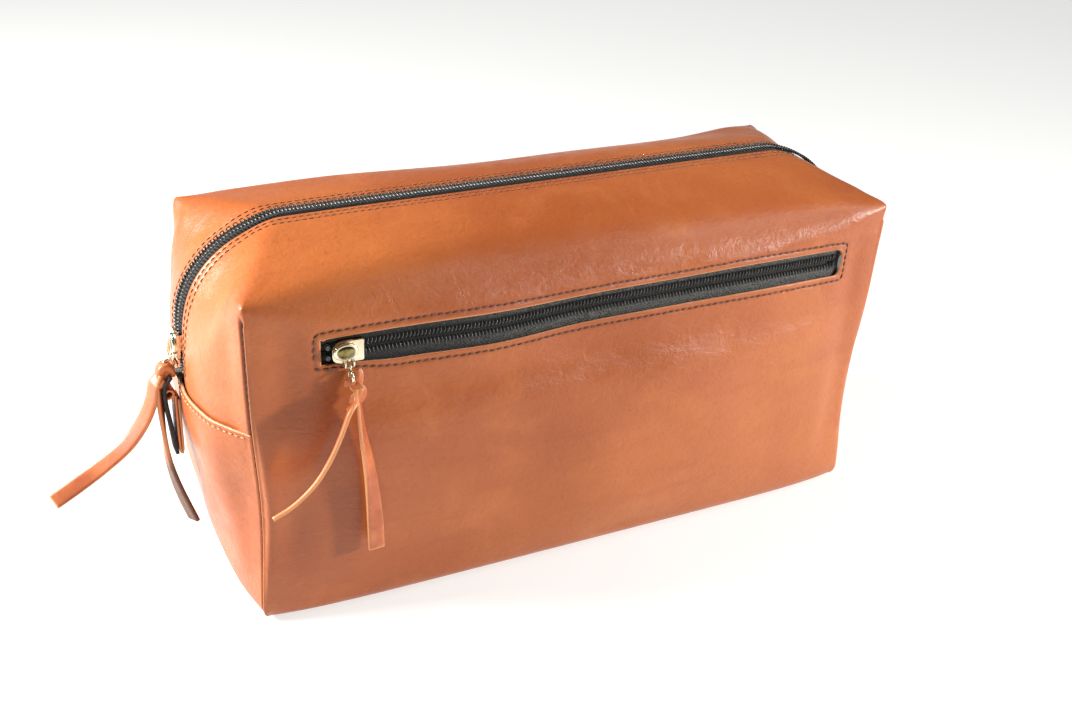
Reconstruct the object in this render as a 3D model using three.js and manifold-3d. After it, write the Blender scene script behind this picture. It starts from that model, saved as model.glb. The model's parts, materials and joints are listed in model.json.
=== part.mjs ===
// A leather shaving kit bag, in millimetres, +Z up, standing on z = 0.
// The long front panel faces -Y and the zip of the main compartment runs
// over the top along X, from low on the left end to low on the right end.

import * as THREE from 'three';
import { mergeVertices } from 'three/addons/utils/BufferGeometryUtils.js';
import Module from 'manifold-3d';

const wasm = await Module();
wasm.setup();

// ---------------------------------------------------------------- dimensions

// The box between the four vertical corner seams
const HALF_LENGTH = 140;
const HALF_DEPTH = 53.4;
const HEIGHT = 141;

// How far each wall swells beyond that box
const FRONT_SWELL = 6.5;
const FRONT_SWELL_AT_BASE = 3.6;
const FRONT_SWELL_AT_POCKET = 2.6;
const END_SWELL_HIGH = 13.2;
const END_SWELL_LOW = 7.2;
const TOP_CROWN = 11;

// Radii of the folds and of the turned corner seams
const SEAM_ROUND = 3;
const BASE_ROUND = 7;
const FRONT_FOLD_ROUND = 9;
const END_FOLD_ROUND = 42;
const CORNER_ROUND = 3.5;

// Layers, as depths below the outer skin
const LEATHER = 1.4;
const TAPE_DEPTH = 2.1;
const TAPE = 0.6;
const LINING_DEPTH = 6;
const LINING = 0.9;
const LINING_BEHIND_POCKET = 6.2;
const POCKET_SPACE = 5.4;

// Main zip
const ZIP_GAP = 5.2;
const TAPE_REACH = 15;
const CHAIN_GAP = 0.9;
const CHAIN_REACH = 3.4;
const CHAIN_TOP = 0.4;
const ZIP_END_Z = 90;
const SLIDER_Z = 102;

// End flaps of the base panel, and the wings of the side panels under them
const FLAP_TOP = 87;
const FLAP_LIFT = 1.8;
const WING_BOTTOM = 80;
const PANEL_GAP = 0.7;

// Pocket window in the front panel
const WINDOW = { left: -112, right: 118.5, bottom: 111, top: 122.7 };
const POCKET_ZIP = 117.2;
const POCKET_SLIDER_X = -103.4;
const POCKET_BOTTOM = 24;
const POCKET_TOP = 126;
const POCKET_HALF_LENGTH = 119;

// Sliders, rings, laces and end tabs
const SLIDER = { length: 12, width: 9, plate: 1.1 };
const RING = { drop: 3.6, outer: 2.8, inner: 1.85, eye: 1.2, thickness: 1.2 };
const MAIN_RING_LEAN = 30;
const POCKET_RING_LEAN = 22;
const LACE = { width: 6.4, thickness: 1.8, folded: 1.5 };
const TAB = { leather: 1.1, knob: 1.6, top: 83.4, bottom: 54 };
const THREAD = 0.8;
const THREAD_FOOT = 0.45;
const THREAD_TOP = 1.05;

// ---------------------------------------------------------------- materials

function finish(colour, roughness, metalness = 0) {
  return new THREE.MeshStandardMaterial({ color: colour, roughness, metalness });
}

const leather = () => finish(0xa35128, 0.38);
const lining = () => finish(0x4a3a2e, 0.9);
const blackTape = () => finish(0x141414, 0.85);
const blackCoil = () => finish(0x1b1b1b, 0.45);
const paleMetal = () => finish(0xcfc2a0, 0.28, 1);
const lace = () => finish(0xa85a30, 0.55);
const darkThread = () => finish(0x2a1a12, 0.7);

// ---------------------------------------------------------------- skin shape

const clamp = THREE.MathUtils.clamp;
const lerp = THREE.MathUtils.lerp;
const smoothstep = THREE.MathUtils.smoothstep;

// How far the front or back wall stands out at x, z
function sideSwell(x, z) {
  const across = Math.min(Math.abs(x) / HALF_LENGTH, 1);
  const up = clamp(z / HEIGHT, 0, 1);
  const cushion = FRONT_SWELL * Math.sin(Math.PI * Math.pow(up, 0.85)) * (1 - across ** 3);
  const base = lerp(FRONT_SWELL_AT_BASE, FRONT_SWELL_AT_POCKET, up) * (1 - across ** 8);
  return Math.max(cushion * (1 - smoothstep(up, 0.6, 0.8)), 0) + base;
}

// How far an end wall stands out at y, z
function endSwell(y, z) {
  const across = Math.min(Math.abs(y) / HALF_DEPTH, 1);
  const high = smoothstep(z, 0, ZIP_END_Z);
  return lerp(END_SWELL_LOW, END_SWELL_HIGH, high) * (1 - across ** 2.6);
}

// How far the top rises at y
function topCrown(y) {
  return TOP_CROWN * (1 - Math.min(Math.abs(y) / HALF_DEPTH, 1) ** 2);
}

// Joins two walls, given as distances outside them, with a round edge
function roundedEdge(a, b, radius) {
  const outside = Math.hypot(Math.max(a + radius, 0), Math.max(b + radius, 0));
  return Math.min(-radius, Math.max(a, b)) + outside;
}

// Distance outside the bag's outer skin; negative inside it
function outsideSkin(p) {
  const side = Math.abs(p.y) - HALF_DEPTH - sideSwell(p.x, p.z);
  const end = Math.abs(p.x) - HALF_LENGTH - endSwell(p.y, p.z);
  const top = p.z - HEIGHT - topCrown(p.y);
  const alongX = 1 - Math.min(Math.abs(p.x) / HALF_LENGTH, 1) ** 2;
  const alongY = 1 - Math.min(Math.abs(p.y) / HALF_DEPTH, 1) ** 2;
  const frontFold = lerp(CORNER_ROUND, FRONT_FOLD_ROUND, alongX);
  const endFold = lerp(CORNER_ROUND, END_FOLD_ROUND, alongY);
  const nearEnd = smoothstep(end - side, -25, 25);
  const walls = roundedEdge(side, end, SEAM_ROUND);
  const upper = roundedEdge(walls, top, lerp(frontFold, endFold, nearEnd));
  return roundedEdge(upper, -p.z, BASE_ROUND);
}

// The point inside the bag that a point of the nominal box is seen from
function anchorOf(p) {
  return new THREE.Vector3(
    clamp(p.x, -98, 98),
    clamp(p.y, -20, 20),
    clamp(p.z, 42, 99),
  );
}

// Moves a point of the nominal box onto the layer at the given depth
function onLayer(nominal, depth) {
  const anchor = anchorOf(nominal);
  const ray = nominal.clone().sub(anchor);
  let near = 0;
  let far = 2.5;
  for (let step = 0; step < 40; step += 1) {
    const middle = (near + far) / 2;
    const point = anchor.clone().addScaledVector(ray, middle);
    if (outsideSkin(point) < -depth) near = middle;
    else far = middle;
  }
  return anchor.addScaledVector(ray, near);
}

// ---------------------------------------------------------------- shells

const arc = (degrees) => 98 + 42 * Math.tan(THREE.MathUtils.degToRad(degrees));
const SIDE_X = [arc(0), arc(9), 112, 118.5, arc(36), HALF_LENGTH];
const MIDDLE_X = [-60, -20, 20, 60];
const X_LINES = [...SIDE_X.map((x) => -x).reverse(), ...MIDDLE_X, ...SIDE_X];
const LOWER_Z = [0, 3, 8, 20, 50];
const UPPER_Z = [WING_BOTTOM, FLAP_TOP, 99, 105.6, WINDOW.bottom, WINDOW.top, 130, HEIGHT];
const Z_LINES = [...LOWER_Z, ...UPPER_Z];
const TOP_Y = [ZIP_GAP, 14, 26, 38, 47, HALF_DEPTH];
const BASE_EDGE_Y = 43;
const BASE_Y = [-BASE_EDGE_Y, -38, -26, -14, 0, 14, 26, 38, BASE_EDGE_Y];
const FLAP_SIDE_Y = 47;
const FLAP_EDGE_Y = 52.2;
const FLAP_Y = [-FLAP_EDGE_Y, -FLAP_SIDE_Y, ...BASE_Y, FLAP_SIDE_Y, FLAP_EDGE_Y];
const FLAP_Z = [...LOWER_Z, WING_BOTTOM - 1, FLAP_TOP];
const COARSE_X = [-HALF_LENGTH, -128, -112, -98, -50, 0, 50, 98, 112, 128, HALF_LENGTH];
const COARSE_Z = [38, 70, 99, 112, 126, 133, HEIGHT];
const COARSE_Y = [8, 22, 36, 47, HALF_DEPTH];

const between = (lines, low, high) => lines.filter((v) => v >= low - 1e-6 && v <= high + 1e-6);

// A patch of the nominal box: two sets of lines and the point at each crossing
function patch(us, vs, place, skip = () => false) {
  return { us, vs, place, skip };
}

const sidePatch = (ySign, xs, zs, skip) =>
  patch(xs, zs, (x, z) => new THREE.Vector3(x, ySign * HALF_DEPTH, z), skip);
const topPatch = (xs, ys) => patch(xs, ys, (x, y) => new THREE.Vector3(x, y, HEIGHT));
const basePatch = (xs, ys) => patch(xs, ys, (x, y) => new THREE.Vector3(x, y, 0));
const endPatch = (xSign, ys, zs, skip) =>
  patch(ys, zs, (y, z) => new THREE.Vector3(xSign * HALF_LENGTH, y, z), skip);

// Collects the patches' cells as quads of shared nominal points, facing out
function meshPatches(patches) {
  const points = [];
  const known = new Map();
  const quads = [];
  const indexOf = (p) => {
    const key = [p.x, p.y, p.z].map((v) => v.toFixed(3)).join();
    if (!known.has(key)) {
      known.set(key, points.length);
      points.push(p);
    }
    return known.get(key);
  };
  for (const { us, vs, place, skip } of patches) {
    for (let i = 0; i + 1 < us.length; i += 1) {
      for (let j = 0; j + 1 < vs.length; j += 1) {
        if (skip((us[i] + us[i + 1]) / 2, (vs[j] + vs[j + 1]) / 2)) continue;
        const corners = [
          place(us[i], vs[j]), place(us[i + 1], vs[j]),
          place(us[i + 1], vs[j + 1]), place(us[i], vs[j + 1]),
        ];
        const normal = corners[1].clone().sub(corners[0]).cross(corners[3].clone().sub(corners[0]));
        const outward = corners[0].clone().sub(anchorOf(corners[0]));
        if (normal.dot(outward) < 0) corners.reverse();
        quads.push(corners.map(indexOf));
      }
    }
  }
  return { points, quads };
}

// A closed shell between two layers, its rims closed by narrow walls
function shell(patches, outerDepth, innerDepth, settle = onLayer) {
  const { points, quads } = meshPatches(patches);
  const outer = points.map((p) => settle(p, outerDepth(p)));
  const inner = points.map((p) => settle(p, innerDepth(p)));
  const positions = [...outer, ...inner].flatMap((p) => [p.x, p.y, p.z]);
  const offset = points.length;
  const edges = new Map();
  const indices = [];
  for (const [a, b, c, d] of quads) {
    indices.push(a, b, c, a, c, d);
    indices.push(offset + a, offset + c, offset + b, offset + a, offset + d, offset + c);
    for (const [from, to] of [[a, b], [b, c], [c, d], [d, a]]) {
      if (!edges.delete(`${to},${from}`)) edges.set(`${from},${to}`, [from, to]);
    }
  }
  for (const [from, to] of edges.values()) {
    indices.push(to, from, offset + from, to, offset + from, offset + to);
  }
  const geometry = new THREE.BufferGeometry();
  geometry.setAttribute('position', new THREE.Float32BufferAttribute(positions, 3));
  geometry.setIndex(indices);
  return geometry;
}

const layer = (patches, depth, thickness) =>
  shell(patches, (p) => depth(p), (p) => depth(p) + thickness);

const flip = (lines) => lines.map((v) => -v).reverse();
const constant = (depth) => () => depth;

// ---------------------------------------------------------------- solids

function toSolid(geometry) {
  const bare = geometry.clone();
  bare.deleteAttribute('normal');
  bare.deleteAttribute('uv');
  const merged = mergeVertices(bare, 1e-4);
  return new wasm.Manifold(new wasm.Mesh({
    numProp: 3,
    vertProperties: new Float32Array(merged.attributes.position.array),
    triVerts: new Uint32Array(merged.index.array),
  }));
}

function fromSolid(solid) {
  const mesh = solid.getMesh();
  const geometry = new THREE.BufferGeometry();
  geometry.setAttribute('position', new THREE.BufferAttribute(mesh.vertProperties, 3));
  geometry.setIndex(new THREE.BufferAttribute(mesh.triVerts, 1));
  return geometry;
}

function join(...geometries) {
  return fromSolid(geometries.map(toSolid).reduce((whole, piece) => whole.add(piece)));
}

function block(sx, sy, sz, x, y, z) {
  return new THREE.BoxGeometry(sx, sy, sz).translate(x, y, z);
}

// A flat outline in XY given its thickness along Z, from z = low
function plate(shape, low, thickness, curveSegments = 6) {
  const settings = { depth: thickness, bevelEnabled: false, curveSegments };
  return new THREE.ExtrudeGeometry(shape, settings).translate(0, 0, low);
}

// ---------------------------------------------------------------- leather

const inWindow = (x, z) =>
  x > WINDOW.left && x < WINDOW.right && z > WINDOW.bottom && z < WINDOW.top;

// One long panel: a side wall, its half of the top, its upper end wings and
// the strip turned in under the base
function sidePanel(ySign, skip) {
  const ys = ySign < 0 ? flip(TOP_Y) : TOP_Y;
  const strip = [BASE_EDGE_Y + PANEL_GAP, 48.5, HALF_DEPTH];
  const patches = [
    sidePatch(ySign, X_LINES, Z_LINES, skip),
    topPatch(X_LINES, ys),
    endPatch(-1, ys, UPPER_Z),
    endPatch(1, ys, UPPER_Z),
    basePatch(X_LINES, ySign < 0 ? flip(strip) : strip),
  ];
  return layer(patches, constant(0), LEATHER);
}

// The base and the two end flaps that turn up from it over the wings
function basePanel() {
  const atSeam = (y, z) => Math.abs(y) > FLAP_SIDE_Y && z > WING_BOTTOM - 1;
  const lifted = (p) => -FLAP_LIFT * smoothstep(p.z, 50, WING_BOTTOM - 1);
  const patches = [
    basePatch(X_LINES, BASE_Y),
    endPatch(-1, FLAP_Y, FLAP_Z, atSeam),
    endPatch(1, FLAP_Y, FLAP_Z, atSeam),
  ];
  return layer(patches, lifted, LEATHER);
}

// ---------------------------------------------------------------- linings

const POCKET_BACK_Y = HALF_DEPTH + FRONT_SWELL_AT_POCKET - TAPE_DEPTH - TAPE - POCKET_SPACE;

// The lining hangs behind the pocket at the front, and near the leather elsewhere
function liningDepth(p) {
  const onFront = p.y <= -HALF_DEPTH + 0.1 ? 1 : 0;
  const alongX = 1 - smoothstep(Math.abs(p.x), 128, HALF_LENGTH);
  const alongZ = smoothstep(p.z, 10, 20) * (1 - smoothstep(p.z, 128, HEIGHT));
  const behind = HALF_DEPTH + sideSwell(p.x, p.z) - POCKET_BACK_Y + LINING_BEHIND_POCKET - 4;
  return lerp(LINING_DEPTH, Math.max(behind, LINING_DEPTH), onFront * alongX * alongZ);
}

function sideLining(ySign) {
  const ys = ySign < 0 ? flip(COARSE_Y) : COARSE_Y;
  const patches = [
    sidePatch(ySign, COARSE_X, [8, 20, ...COARSE_Z], (x, z) => z < 0),
    topPatch(COARSE_X, ys),
    endPatch(-1, ys, COARSE_Z),
    endPatch(1, ys, COARSE_Z),
  ];
  return layer(patches, liningDepth, LINING);
}

function baseLining() {
  const ys = [-50.5, -22, 22, 50.5];
  const patches = [
    basePatch(COARSE_X, ys),
    endPatch(-1, ys, [0, 8, 35]),
    endPatch(1, ys, [0, 8, 35]),
  ];
  return layer(patches, constant(LINING_DEPTH), LINING);
}

// The pocket behind the window: a cloth front below the zip and a cloth back
function pocketFront() {
  const xs = between(X_LINES, -POCKET_HALF_LENGTH, POCKET_HALF_LENGTH);
  const patches = [sidePatch(-1, xs, [POCKET_BOTTOM, 50, 80, 99, 103])];
  return layer(patches, constant(TAPE_DEPTH), TAPE);
}

function pocketBack() {
  const height = POCKET_TOP - POCKET_BOTTOM;
  const y = -(POCKET_BACK_Y - TAPE / 2);
  return block(2 * POCKET_HALF_LENGTH, TAPE, height, 0, y, POCKET_BOTTOM + height / 2);
}

// ---------------------------------------------------------------- zips

// The strip of the nominal box that follows the main zip between two y lines
function zipPatches(ys, endZ, skip) {
  const zs = [endZ, ...UPPER_Z.filter((z) => z > endZ + 1)];
  return [topPatch(X_LINES, ys), endPatch(-1, ys, zs, skip), endPatch(1, ys, zs, skip)];
}

const onSide = (ySign, low, high) => (ySign < 0 ? [-high, -low] : [low, high]);

const mainTape = (ySign) =>
  layer(zipPatches(onSide(ySign, CHAIN_GAP, TAPE_REACH), ZIP_END_Z), constant(TAPE_DEPTH), TAPE);

const mainCoil = (ySign) => shell(
  zipPatches(onSide(ySign, CHAIN_GAP, CHAIN_REACH), ZIP_END_Z + 2.3),
  constant(CHAIN_TOP),
  constant(TAPE_DEPTH - 0.3),
);

const POCKET_X = between(X_LINES, WINDOW.left - 7, WINDOW.right + 0.5);

// The point at the given depth straight behind the front's skin
const straightBack = (p, depth) => onLayer(p, 0).add(new THREE.Vector3(0, depth, 0));

function pocketStrip(low, high, outer, inner, xs = POCKET_X) {
  const patches = [sidePatch(-1, xs, [low, high])];
  return shell(patches, constant(outer), constant(inner), straightBack);
}

const pocketTape = (zSign) => {
  const [low, high] = zSign < 0 ? [105, POCKET_ZIP - CHAIN_GAP] : [POCKET_ZIP + CHAIN_GAP, 128];
  return pocketStrip(low, high, TAPE_DEPTH, TAPE_DEPTH + TAPE);
};

const pocketCoil = (zSign) => {
  const near = POCKET_ZIP + zSign * CHAIN_GAP;
  const far = POCKET_ZIP + zSign * 3.1;
  const xs = [-108.5, ...between(X_LINES, -105, 111), WINDOW.right - 4.5];
  const [low, high] = zSign < 0 ? [far, near] : [near, far];
  return pocketStrip(low, high, CHAIN_TOP, TAPE_DEPTH - 0.3, xs);
};

// A stop clamped across or beside the chain: a small rounded bar
function stop(sx, sy, sz) {
  const shape = new THREE.Shape();
  shape.absellipse(0, 0, sx / 2, sy / 2, 0, 2 * Math.PI);
  return plate(shape, -sz / 2, sz, 5);
}

// The slider in its own frame: it closes the chain towards +X, its pull side
// faces +Z, and z = 0 is the skin of the leather beside it
function sliderOutline(halfWidth, tailWidth) {
  const half = SLIDER.length / 2;
  const shape = new THREE.Shape();
  shape.moveTo(half, -tailWidth);
  shape.lineTo(half, tailWidth);
  shape.lineTo(0, halfWidth);
  shape.quadraticCurveTo(-half, halfWidth, -half, 1.5);
  shape.lineTo(-half, -1.5);
  shape.quadraticCurveTo(-half, -halfWidth, 0, -halfWidth);
  return shape;
}

const PLATE_LOW = 0.3;
const PLATE_TOP = PLATE_LOW + SLIDER.plate;
const UNDER_TOP = -3.4;
const PIN_HEIGHT = 2.9;
const PIN_SHIFT = 5.5;
const LUG_Y = 1.6;
const CAP_EDGE = 3.2;

function sliderBody() {
  const half = SLIDER.width / 2;
  const top = plate(sliderOutline(half, 3.9), PLATE_LOW, SLIDER.plate, 4);
  const under = plate(sliderOutline(half - 0.3, 3.6), UNDER_TOP - SLIDER.plate, SLIDER.plate, 4);
  const post = block(4, 0.9, PLATE_LOW - UNDER_TOP + 1, -3, 0, (PLATE_LOW + UNDER_TOP) / 2);
  const flanges = [-1, 1].map((side) => block(6.5, 0.6, 2.4, 2.5, side * 3.95, 0.2));
  return join(top, under, post, ...flanges);
}

// The crown: an oval cap, and two lugs that hold the pin past its edge. It is
// drawn with the pin towards -X, and the cap runs from -CAP_EDGE to capEnd
function sliderCrown(capEnd, capHalfWidth) {
  const middle = (capEnd - CAP_EDGE) / 2;
  const half = (capEnd + CAP_EDGE) / 2;
  const rim = new THREE.Shape().absellipse(middle, 0, half, capHalfWidth, 0, 2 * Math.PI);
  const crest = new THREE.Shape().absellipse(middle, 0, half - 1.2, capHalfWidth - 1.2, 0, 2 * Math.PI);
  const lugs = [-1, 1].flatMap((side) => [
    block(3.6, 1, 2.1, -4.4, side * LUG_Y, PIN_HEIGHT - 0.15),
    block(4.2, 1, 2.8, -0.7, side * LUG_Y, PIN_HEIGHT + 0.2),
  ]);
  const pin = new THREE.CylinderGeometry(0.5, 0.5, 2 * LUG_Y, 8).translate(-PIN_SHIFT, 0, PIN_HEIGHT);
  return join(plate(rim, 4.3, 0.6, 7), plate(crest, 4.8, 0.6, 6), ...lugs, pin);
}

// The pull: a flat ring with an eye, hanging along -Y from an eye at the origin
function pullRing() {
  const reach = RING.drop;
  const shape = new THREE.Shape();
  const slope = Math.asin((RING.outer - RING.eye) / reach);
  shape.absarc(0, 0, RING.eye, slope, Math.PI - slope);
  shape.absarc(0, -reach, RING.outer, Math.PI - slope, 2 * Math.PI + slope);
  const eye = new THREE.Path().absarc(0, 0, 0.78, 0, 2 * Math.PI);
  const hole = new THREE.Path().absarc(0, -reach, RING.inner, 0, 2 * Math.PI);
  shape.holes.push(eye, hole);
  return plate(shape, -RING.thickness / 2, RING.thickness, 8);
}

// ---------------------------------------------------------------- pulls and tabs

// Turns the ring to hang along -Z with its thickness along the given axis,
// its foot leaning out along the given direction
function hangRing(thicknessAxis, outward, lean) {
  const up = new THREE.Vector3(0, 0, 1);
  const across = up.clone().cross(thicknessAxis);
  const upright = new THREE.Matrix4().makeBasis(across, up, thicknessAxis);
  const tip = new THREE.Vector3(0, 0, -1).cross(outward);
  const tilt = new THREE.Matrix4().makeRotationAxis(tip, THREE.MathUtils.degToRad(lean));
  return pullRing().applyMatrix4(upright).applyMatrix4(tilt);
}

// The middle of the ring's wire at its lowest point, seen from its pin
function ringFoot(outward, lean) {
  const angle = THREE.MathUtils.degToRad(lean);
  const low = -RING.drop * Math.cos(angle) - (RING.outer + RING.inner) / 2;
  return outward.clone().multiplyScalar(RING.drop * Math.sin(angle)).setZ(low);
}

// The lace's knot: a folded loop round a wire along X, and the lump under it
function laceKnot(lumpX, lumpY, lumpHeight, shiftX) {
  const hole = 1.1;
  const loop = new THREE.Shape().absarc(0, 0, hole + 1.2, 0, 2 * Math.PI);
  loop.holes.push(new THREE.Path().absarc(0, 0, hole, 0, 2 * Math.PI));
  const eyelet = plate(loop, -LACE.folded / 2, LACE.folded, 7);
  eyelet.applyMatrix4(new THREE.Matrix4().makeBasis(
    new THREE.Vector3(0, 1, 0), new THREE.Vector3(0, 0, 1), new THREE.Vector3(1, 0, 0),
  ));
  const lump = block(lumpX, lumpY, lumpHeight, shiftX, 0, -hole - 0.7 - lumpHeight / 2);
  return join(eyelet, lump);
}

// A free lace end: a flat strip along a curve that stays square to one axis
function laceTail(route, wideAlongY) {
  const curve = new THREE.CatmullRomCurve3(route.map((p) => new THREE.Vector3(...p)));
  const [w, t] = [LACE.width / 2, LACE.thickness / 2];
  const chamfer = 0.4;
  const outline = [
    [w, t - chamfer], [w - chamfer, t], [chamfer - w, t], [-w, t - chamfer],
    [-w, chamfer - t], [chamfer - w, -t], [w - chamfer, -t], [w, chamfer - t],
  ];
  const turned = outline.map(([a, b]) => new THREE.Vector2(...(wideAlongY ? [a, b] : [b, a])));
  const settings = { steps: 12, bevelEnabled: false, extrudePath: curve };
  return new THREE.ExtrudeGeometry(new THREE.Shape(turned), settings);
}

// Where the skin of the left end stands beside the main zip's lower end
const END_SKIN = HALF_LENGTH + END_SWELL_HIGH;
const FLAP_SKIN = END_SKIN + FLAP_LIFT;
const TAB_INNER = FLAP_SKIN + 0.3;
const TAB_TAPE = TAB_INNER + TAB.leather + 0.3;
const TAB_OUTER = TAB_TAPE + TAPE + 0.3;
const TAIL_Z = FLAP_TOP + 1.4;

// Turns an outline drawn in x outward, z up into a plate across the end
function acrossEnd(shape, lowY, width, xSign) {
  const solid = plate(shape, 0, width, 6);
  solid.applyMatrix4(new THREE.Matrix4().makeBasis(
    new THREE.Vector3(xSign, 0, 0), new THREE.Vector3(0, 0, 1), new THREE.Vector3(0, -xSign, 0),
  ));
  return solid.translate(0, xSign < 0 ? lowY : lowY + width, 0);
}

// The leather end tab: a strip folded up round the tape's tail, with a
// rolled knob at the top of its outer leg
function endTab(xSign) {
  const leg = TAB.leather;
  const shape = new THREE.Shape();
  const knobX = TAB_OUTER + TAB.knob;
  shape.moveTo(TAB_INNER, TAB.bottom);
  shape.lineTo(TAB_OUTER + leg, TAB.bottom);
  shape.lineTo(TAB_OUTER + leg, TAB.top - TAB.knob);
  shape.absarc(knobX, TAB.top, TAB.knob, -Math.PI / 2, Math.PI, false);
  shape.lineTo(TAB_OUTER, TAB.bottom + leg);
  shape.lineTo(TAB_INNER + leg, TAB.bottom + leg);
  shape.lineTo(TAB_INNER + leg, TAB.top - 3);
  shape.lineTo(TAB_INNER, TAB.top - 3);
  return acrossEnd(shape, -4.6, 8, xSign);
}

// The zip tape inside the tab, from its bend over the flap's edge downward
function tabTape(xSign) {
  const shape = new THREE.Shape();
  shape.moveTo(TAB_TAPE, TAB.bottom + 2.5);
  shape.lineTo(TAB_TAPE + TAPE, TAB.bottom + 2.5);
  shape.lineTo(TAB_TAPE + TAPE, TAIL_Z - 0.9);
  shape.lineTo(FLAP_SKIN + 0.7, TAIL_Z + TAPE);
  shape.lineTo(FLAP_SKIN + 0.7, TAIL_Z);
  shape.lineTo(TAB_TAPE, TAIL_Z - 1.2);
  return acrossEnd(shape, -3.4, 8.2, xSign);
}

// The zip tape's tail, from inside the bag out over the flap's edge
function zipTail(xSign) {
  const inner = END_SKIN - 2;
  const width = FLAP_SKIN + 0.3 - inner;
  return block(width, 8.2, TAPE, xSign * (inner + width / 2), 0.7, TAIL_Z + TAPE / 2);
}

// ---------------------------------------------------------------- threads

const threadStrip = (patches) => shell(patches, constant(-THREAD_TOP), constant(-THREAD_FOOT));

function zipThread(ySign, row) {
  const ys = onSide(ySign, ZIP_GAP + row, ZIP_GAP + row + THREAD);
  return threadStrip(zipPatches(ys, ZIP_END_Z));
}

function pocketThread() {
  const reach = 3;
  const left = WINDOW.left - reach;
  const right = WINDOW.right + reach - THREAD;
  const low = WINDOW.bottom - reach;
  const high = WINDOW.top + reach - THREAD;
  const xs = [left, left + THREAD, ...between(X_LINES, WINDOW.left, WINDOW.right)];
  const zs = [low, low + THREAD, WINDOW.bottom, WINDOW.top, high, high + THREAD];
  const inside = (x, z) =>
    x > left + THREAD && x < right && z > low + THREAD && z < high;
  return threadStrip([sidePatch(-1, [...xs, right, right + THREAD], zs, inside)]);
}

function flapThread(xSign) {
  const ys = between(FLAP_Y, -FLAP_SIDE_Y + 1, FLAP_SIDE_Y - 1);
  const low = FLAP_TOP - 3.4;
  const patches = [endPatch(xSign, ys, [low, low + THREAD])];
  return shell(patches, constant(-FLAP_LIFT - THREAD_TOP), constant(-FLAP_LIFT - THREAD_FOOT));
}

// The thread of a corner seam, lying in its groove
function seamThread(xSign, ySign) {
  const xs = [HALF_LENGTH - 1.6, HALF_LENGTH - 0.8].map((x) => xSign * x);
  const patches = [sidePatch(ySign, xSign < 0 ? xs : xs.reverse(), [6, ...between(Z_LINES, 8, 132)])];
  return threadStrip(patches);
}

// ---------------------------------------------------------------- assembly

const bag = new THREE.Group();

function add(name, geometry, material, parent = bag) {
  const mesh = new THREE.Mesh(geometry, material);
  mesh.name = name;
  parent.add(mesh);
  return mesh;
}

const SIDES = { front: -1, back: 1 };
const ENDS = { left: -1, right: 1 };

add('front_panel', sidePanel(SIDES.front, inWindow), leather());
add('back_panel', sidePanel(SIDES.back), leather());
add('base_panel', basePanel(), leather());
add('base_lining', baseLining(), lining());
add('pocket_lining_front', pocketFront(), lining());
add('pocket_lining_back', pocketBack(), lining());

for (const [side, sign] of Object.entries(SIDES)) {
  add(`${side}_lining`, sideLining(sign), lining());
  add(`main_zip_tape_${side}`, mainTape(sign), blackTape());
  add(`main_zip_coil_${side}`, mainCoil(sign), blackCoil());
  add(`main_zip_thread_${side}_inner`, zipThread(sign, 2.4), darkThread());
  add(`main_zip_thread_${side}_outer`, zipThread(sign, 6), darkThread());
  for (const [end, endSign] of Object.entries(ENDS)) {
    add(`corner_seam_thread_${side}_${end}`, seamThread(endSign, sign), darkThread());
  }
}

for (const [end, sign] of Object.entries(ENDS)) {
  add(`zip_tail_${end}`, zipTail(sign), blackTape());
  add(`end_tab_${end}`, endTab(sign), leather());
  add(`end_tab_tape_${end}`, tabTape(sign), blackTape());
  add(`flap_thread_${end}`, flapThread(sign), darkThread());
}

for (const [place, sign] of Object.entries({ lower: -1, upper: 1 })) {
  add(`pocket_zip_tape_${place}`, pocketTape(sign), blackTape());
  add(`pocket_zip_coil_${place}`, pocketCoil(sign), blackCoil());
}
add('pocket_zip_thread', pocketThread(), darkThread());

// The frames of the two zips: X along the travel that closes the chain,
// Z outward, with the slider at the origin
const mainZip = new THREE.Group();
mainZip.position.copy(onLayer(new THREE.Vector3(-HALF_LENGTH, 0, 95), 0)).setZ(SLIDER_Z);
mainZip.rotation.y = -Math.PI / 2;
const pocketZip = new THREE.Group();
pocketZip.position.copy(onLayer(new THREE.Vector3(0, -HALF_DEPTH, POCKET_ZIP), 0));
pocketZip.position.x = POCKET_SLIDER_X;
pocketZip.rotation.x = Math.PI / 2;
bag.add(mainZip, pocketZip);

add('main_slider_body', sliderBody(), paleMetal(), mainZip);
add('main_slider_crown', sliderCrown(5.2, 3.8), paleMetal(), mainZip);
add('pocket_slider_body', sliderBody(), paleMetal(), pocketZip);
add('pocket_slider_crown', sliderCrown(3.2, 5), paleMetal(), pocketZip).rotation.z = Math.PI / 2;

// Stops: one on each half where a slider ends its closing run, and one
// across both halves where it starts
for (const [place, sign] of Object.entries({ front: -1, back: 1 })) {
  const top = stop(1.6, 2, 2).translate(-SLIDER_Z + ZIP_END_Z + 0.8, sign * 2.3, -0.8);
  add(`main_zip_top_stop_${place}`, top, paleMetal(), mainZip);
}
for (const [place, sign] of Object.entries({ lower: -1, upper: 1 })) {
  const top = stop(1.8, 2, 2).translate(-7.2, sign * 2.1, -0.8);
  add(`pocket_zip_top_stop_${place}`, top, paleMetal(), pocketZip);
}
const RUN_END = WINDOW.right - POCKET_SLIDER_X - 1.3;
add('pocket_zip_bottom_stop', stop(1.8, 6.5, 2).translate(RUN_END, 0, -0.8), paleMetal(), pocketZip);
const mainEnd = add('main_zip_bottom_stop', stop(1.6, 6.5, 2), paleMetal());
mainEnd.rotation.y = Math.PI / 2;
mainEnd.position.set(END_SKIN - 0.8, 0, ZIP_END_Z + 0.2);

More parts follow.
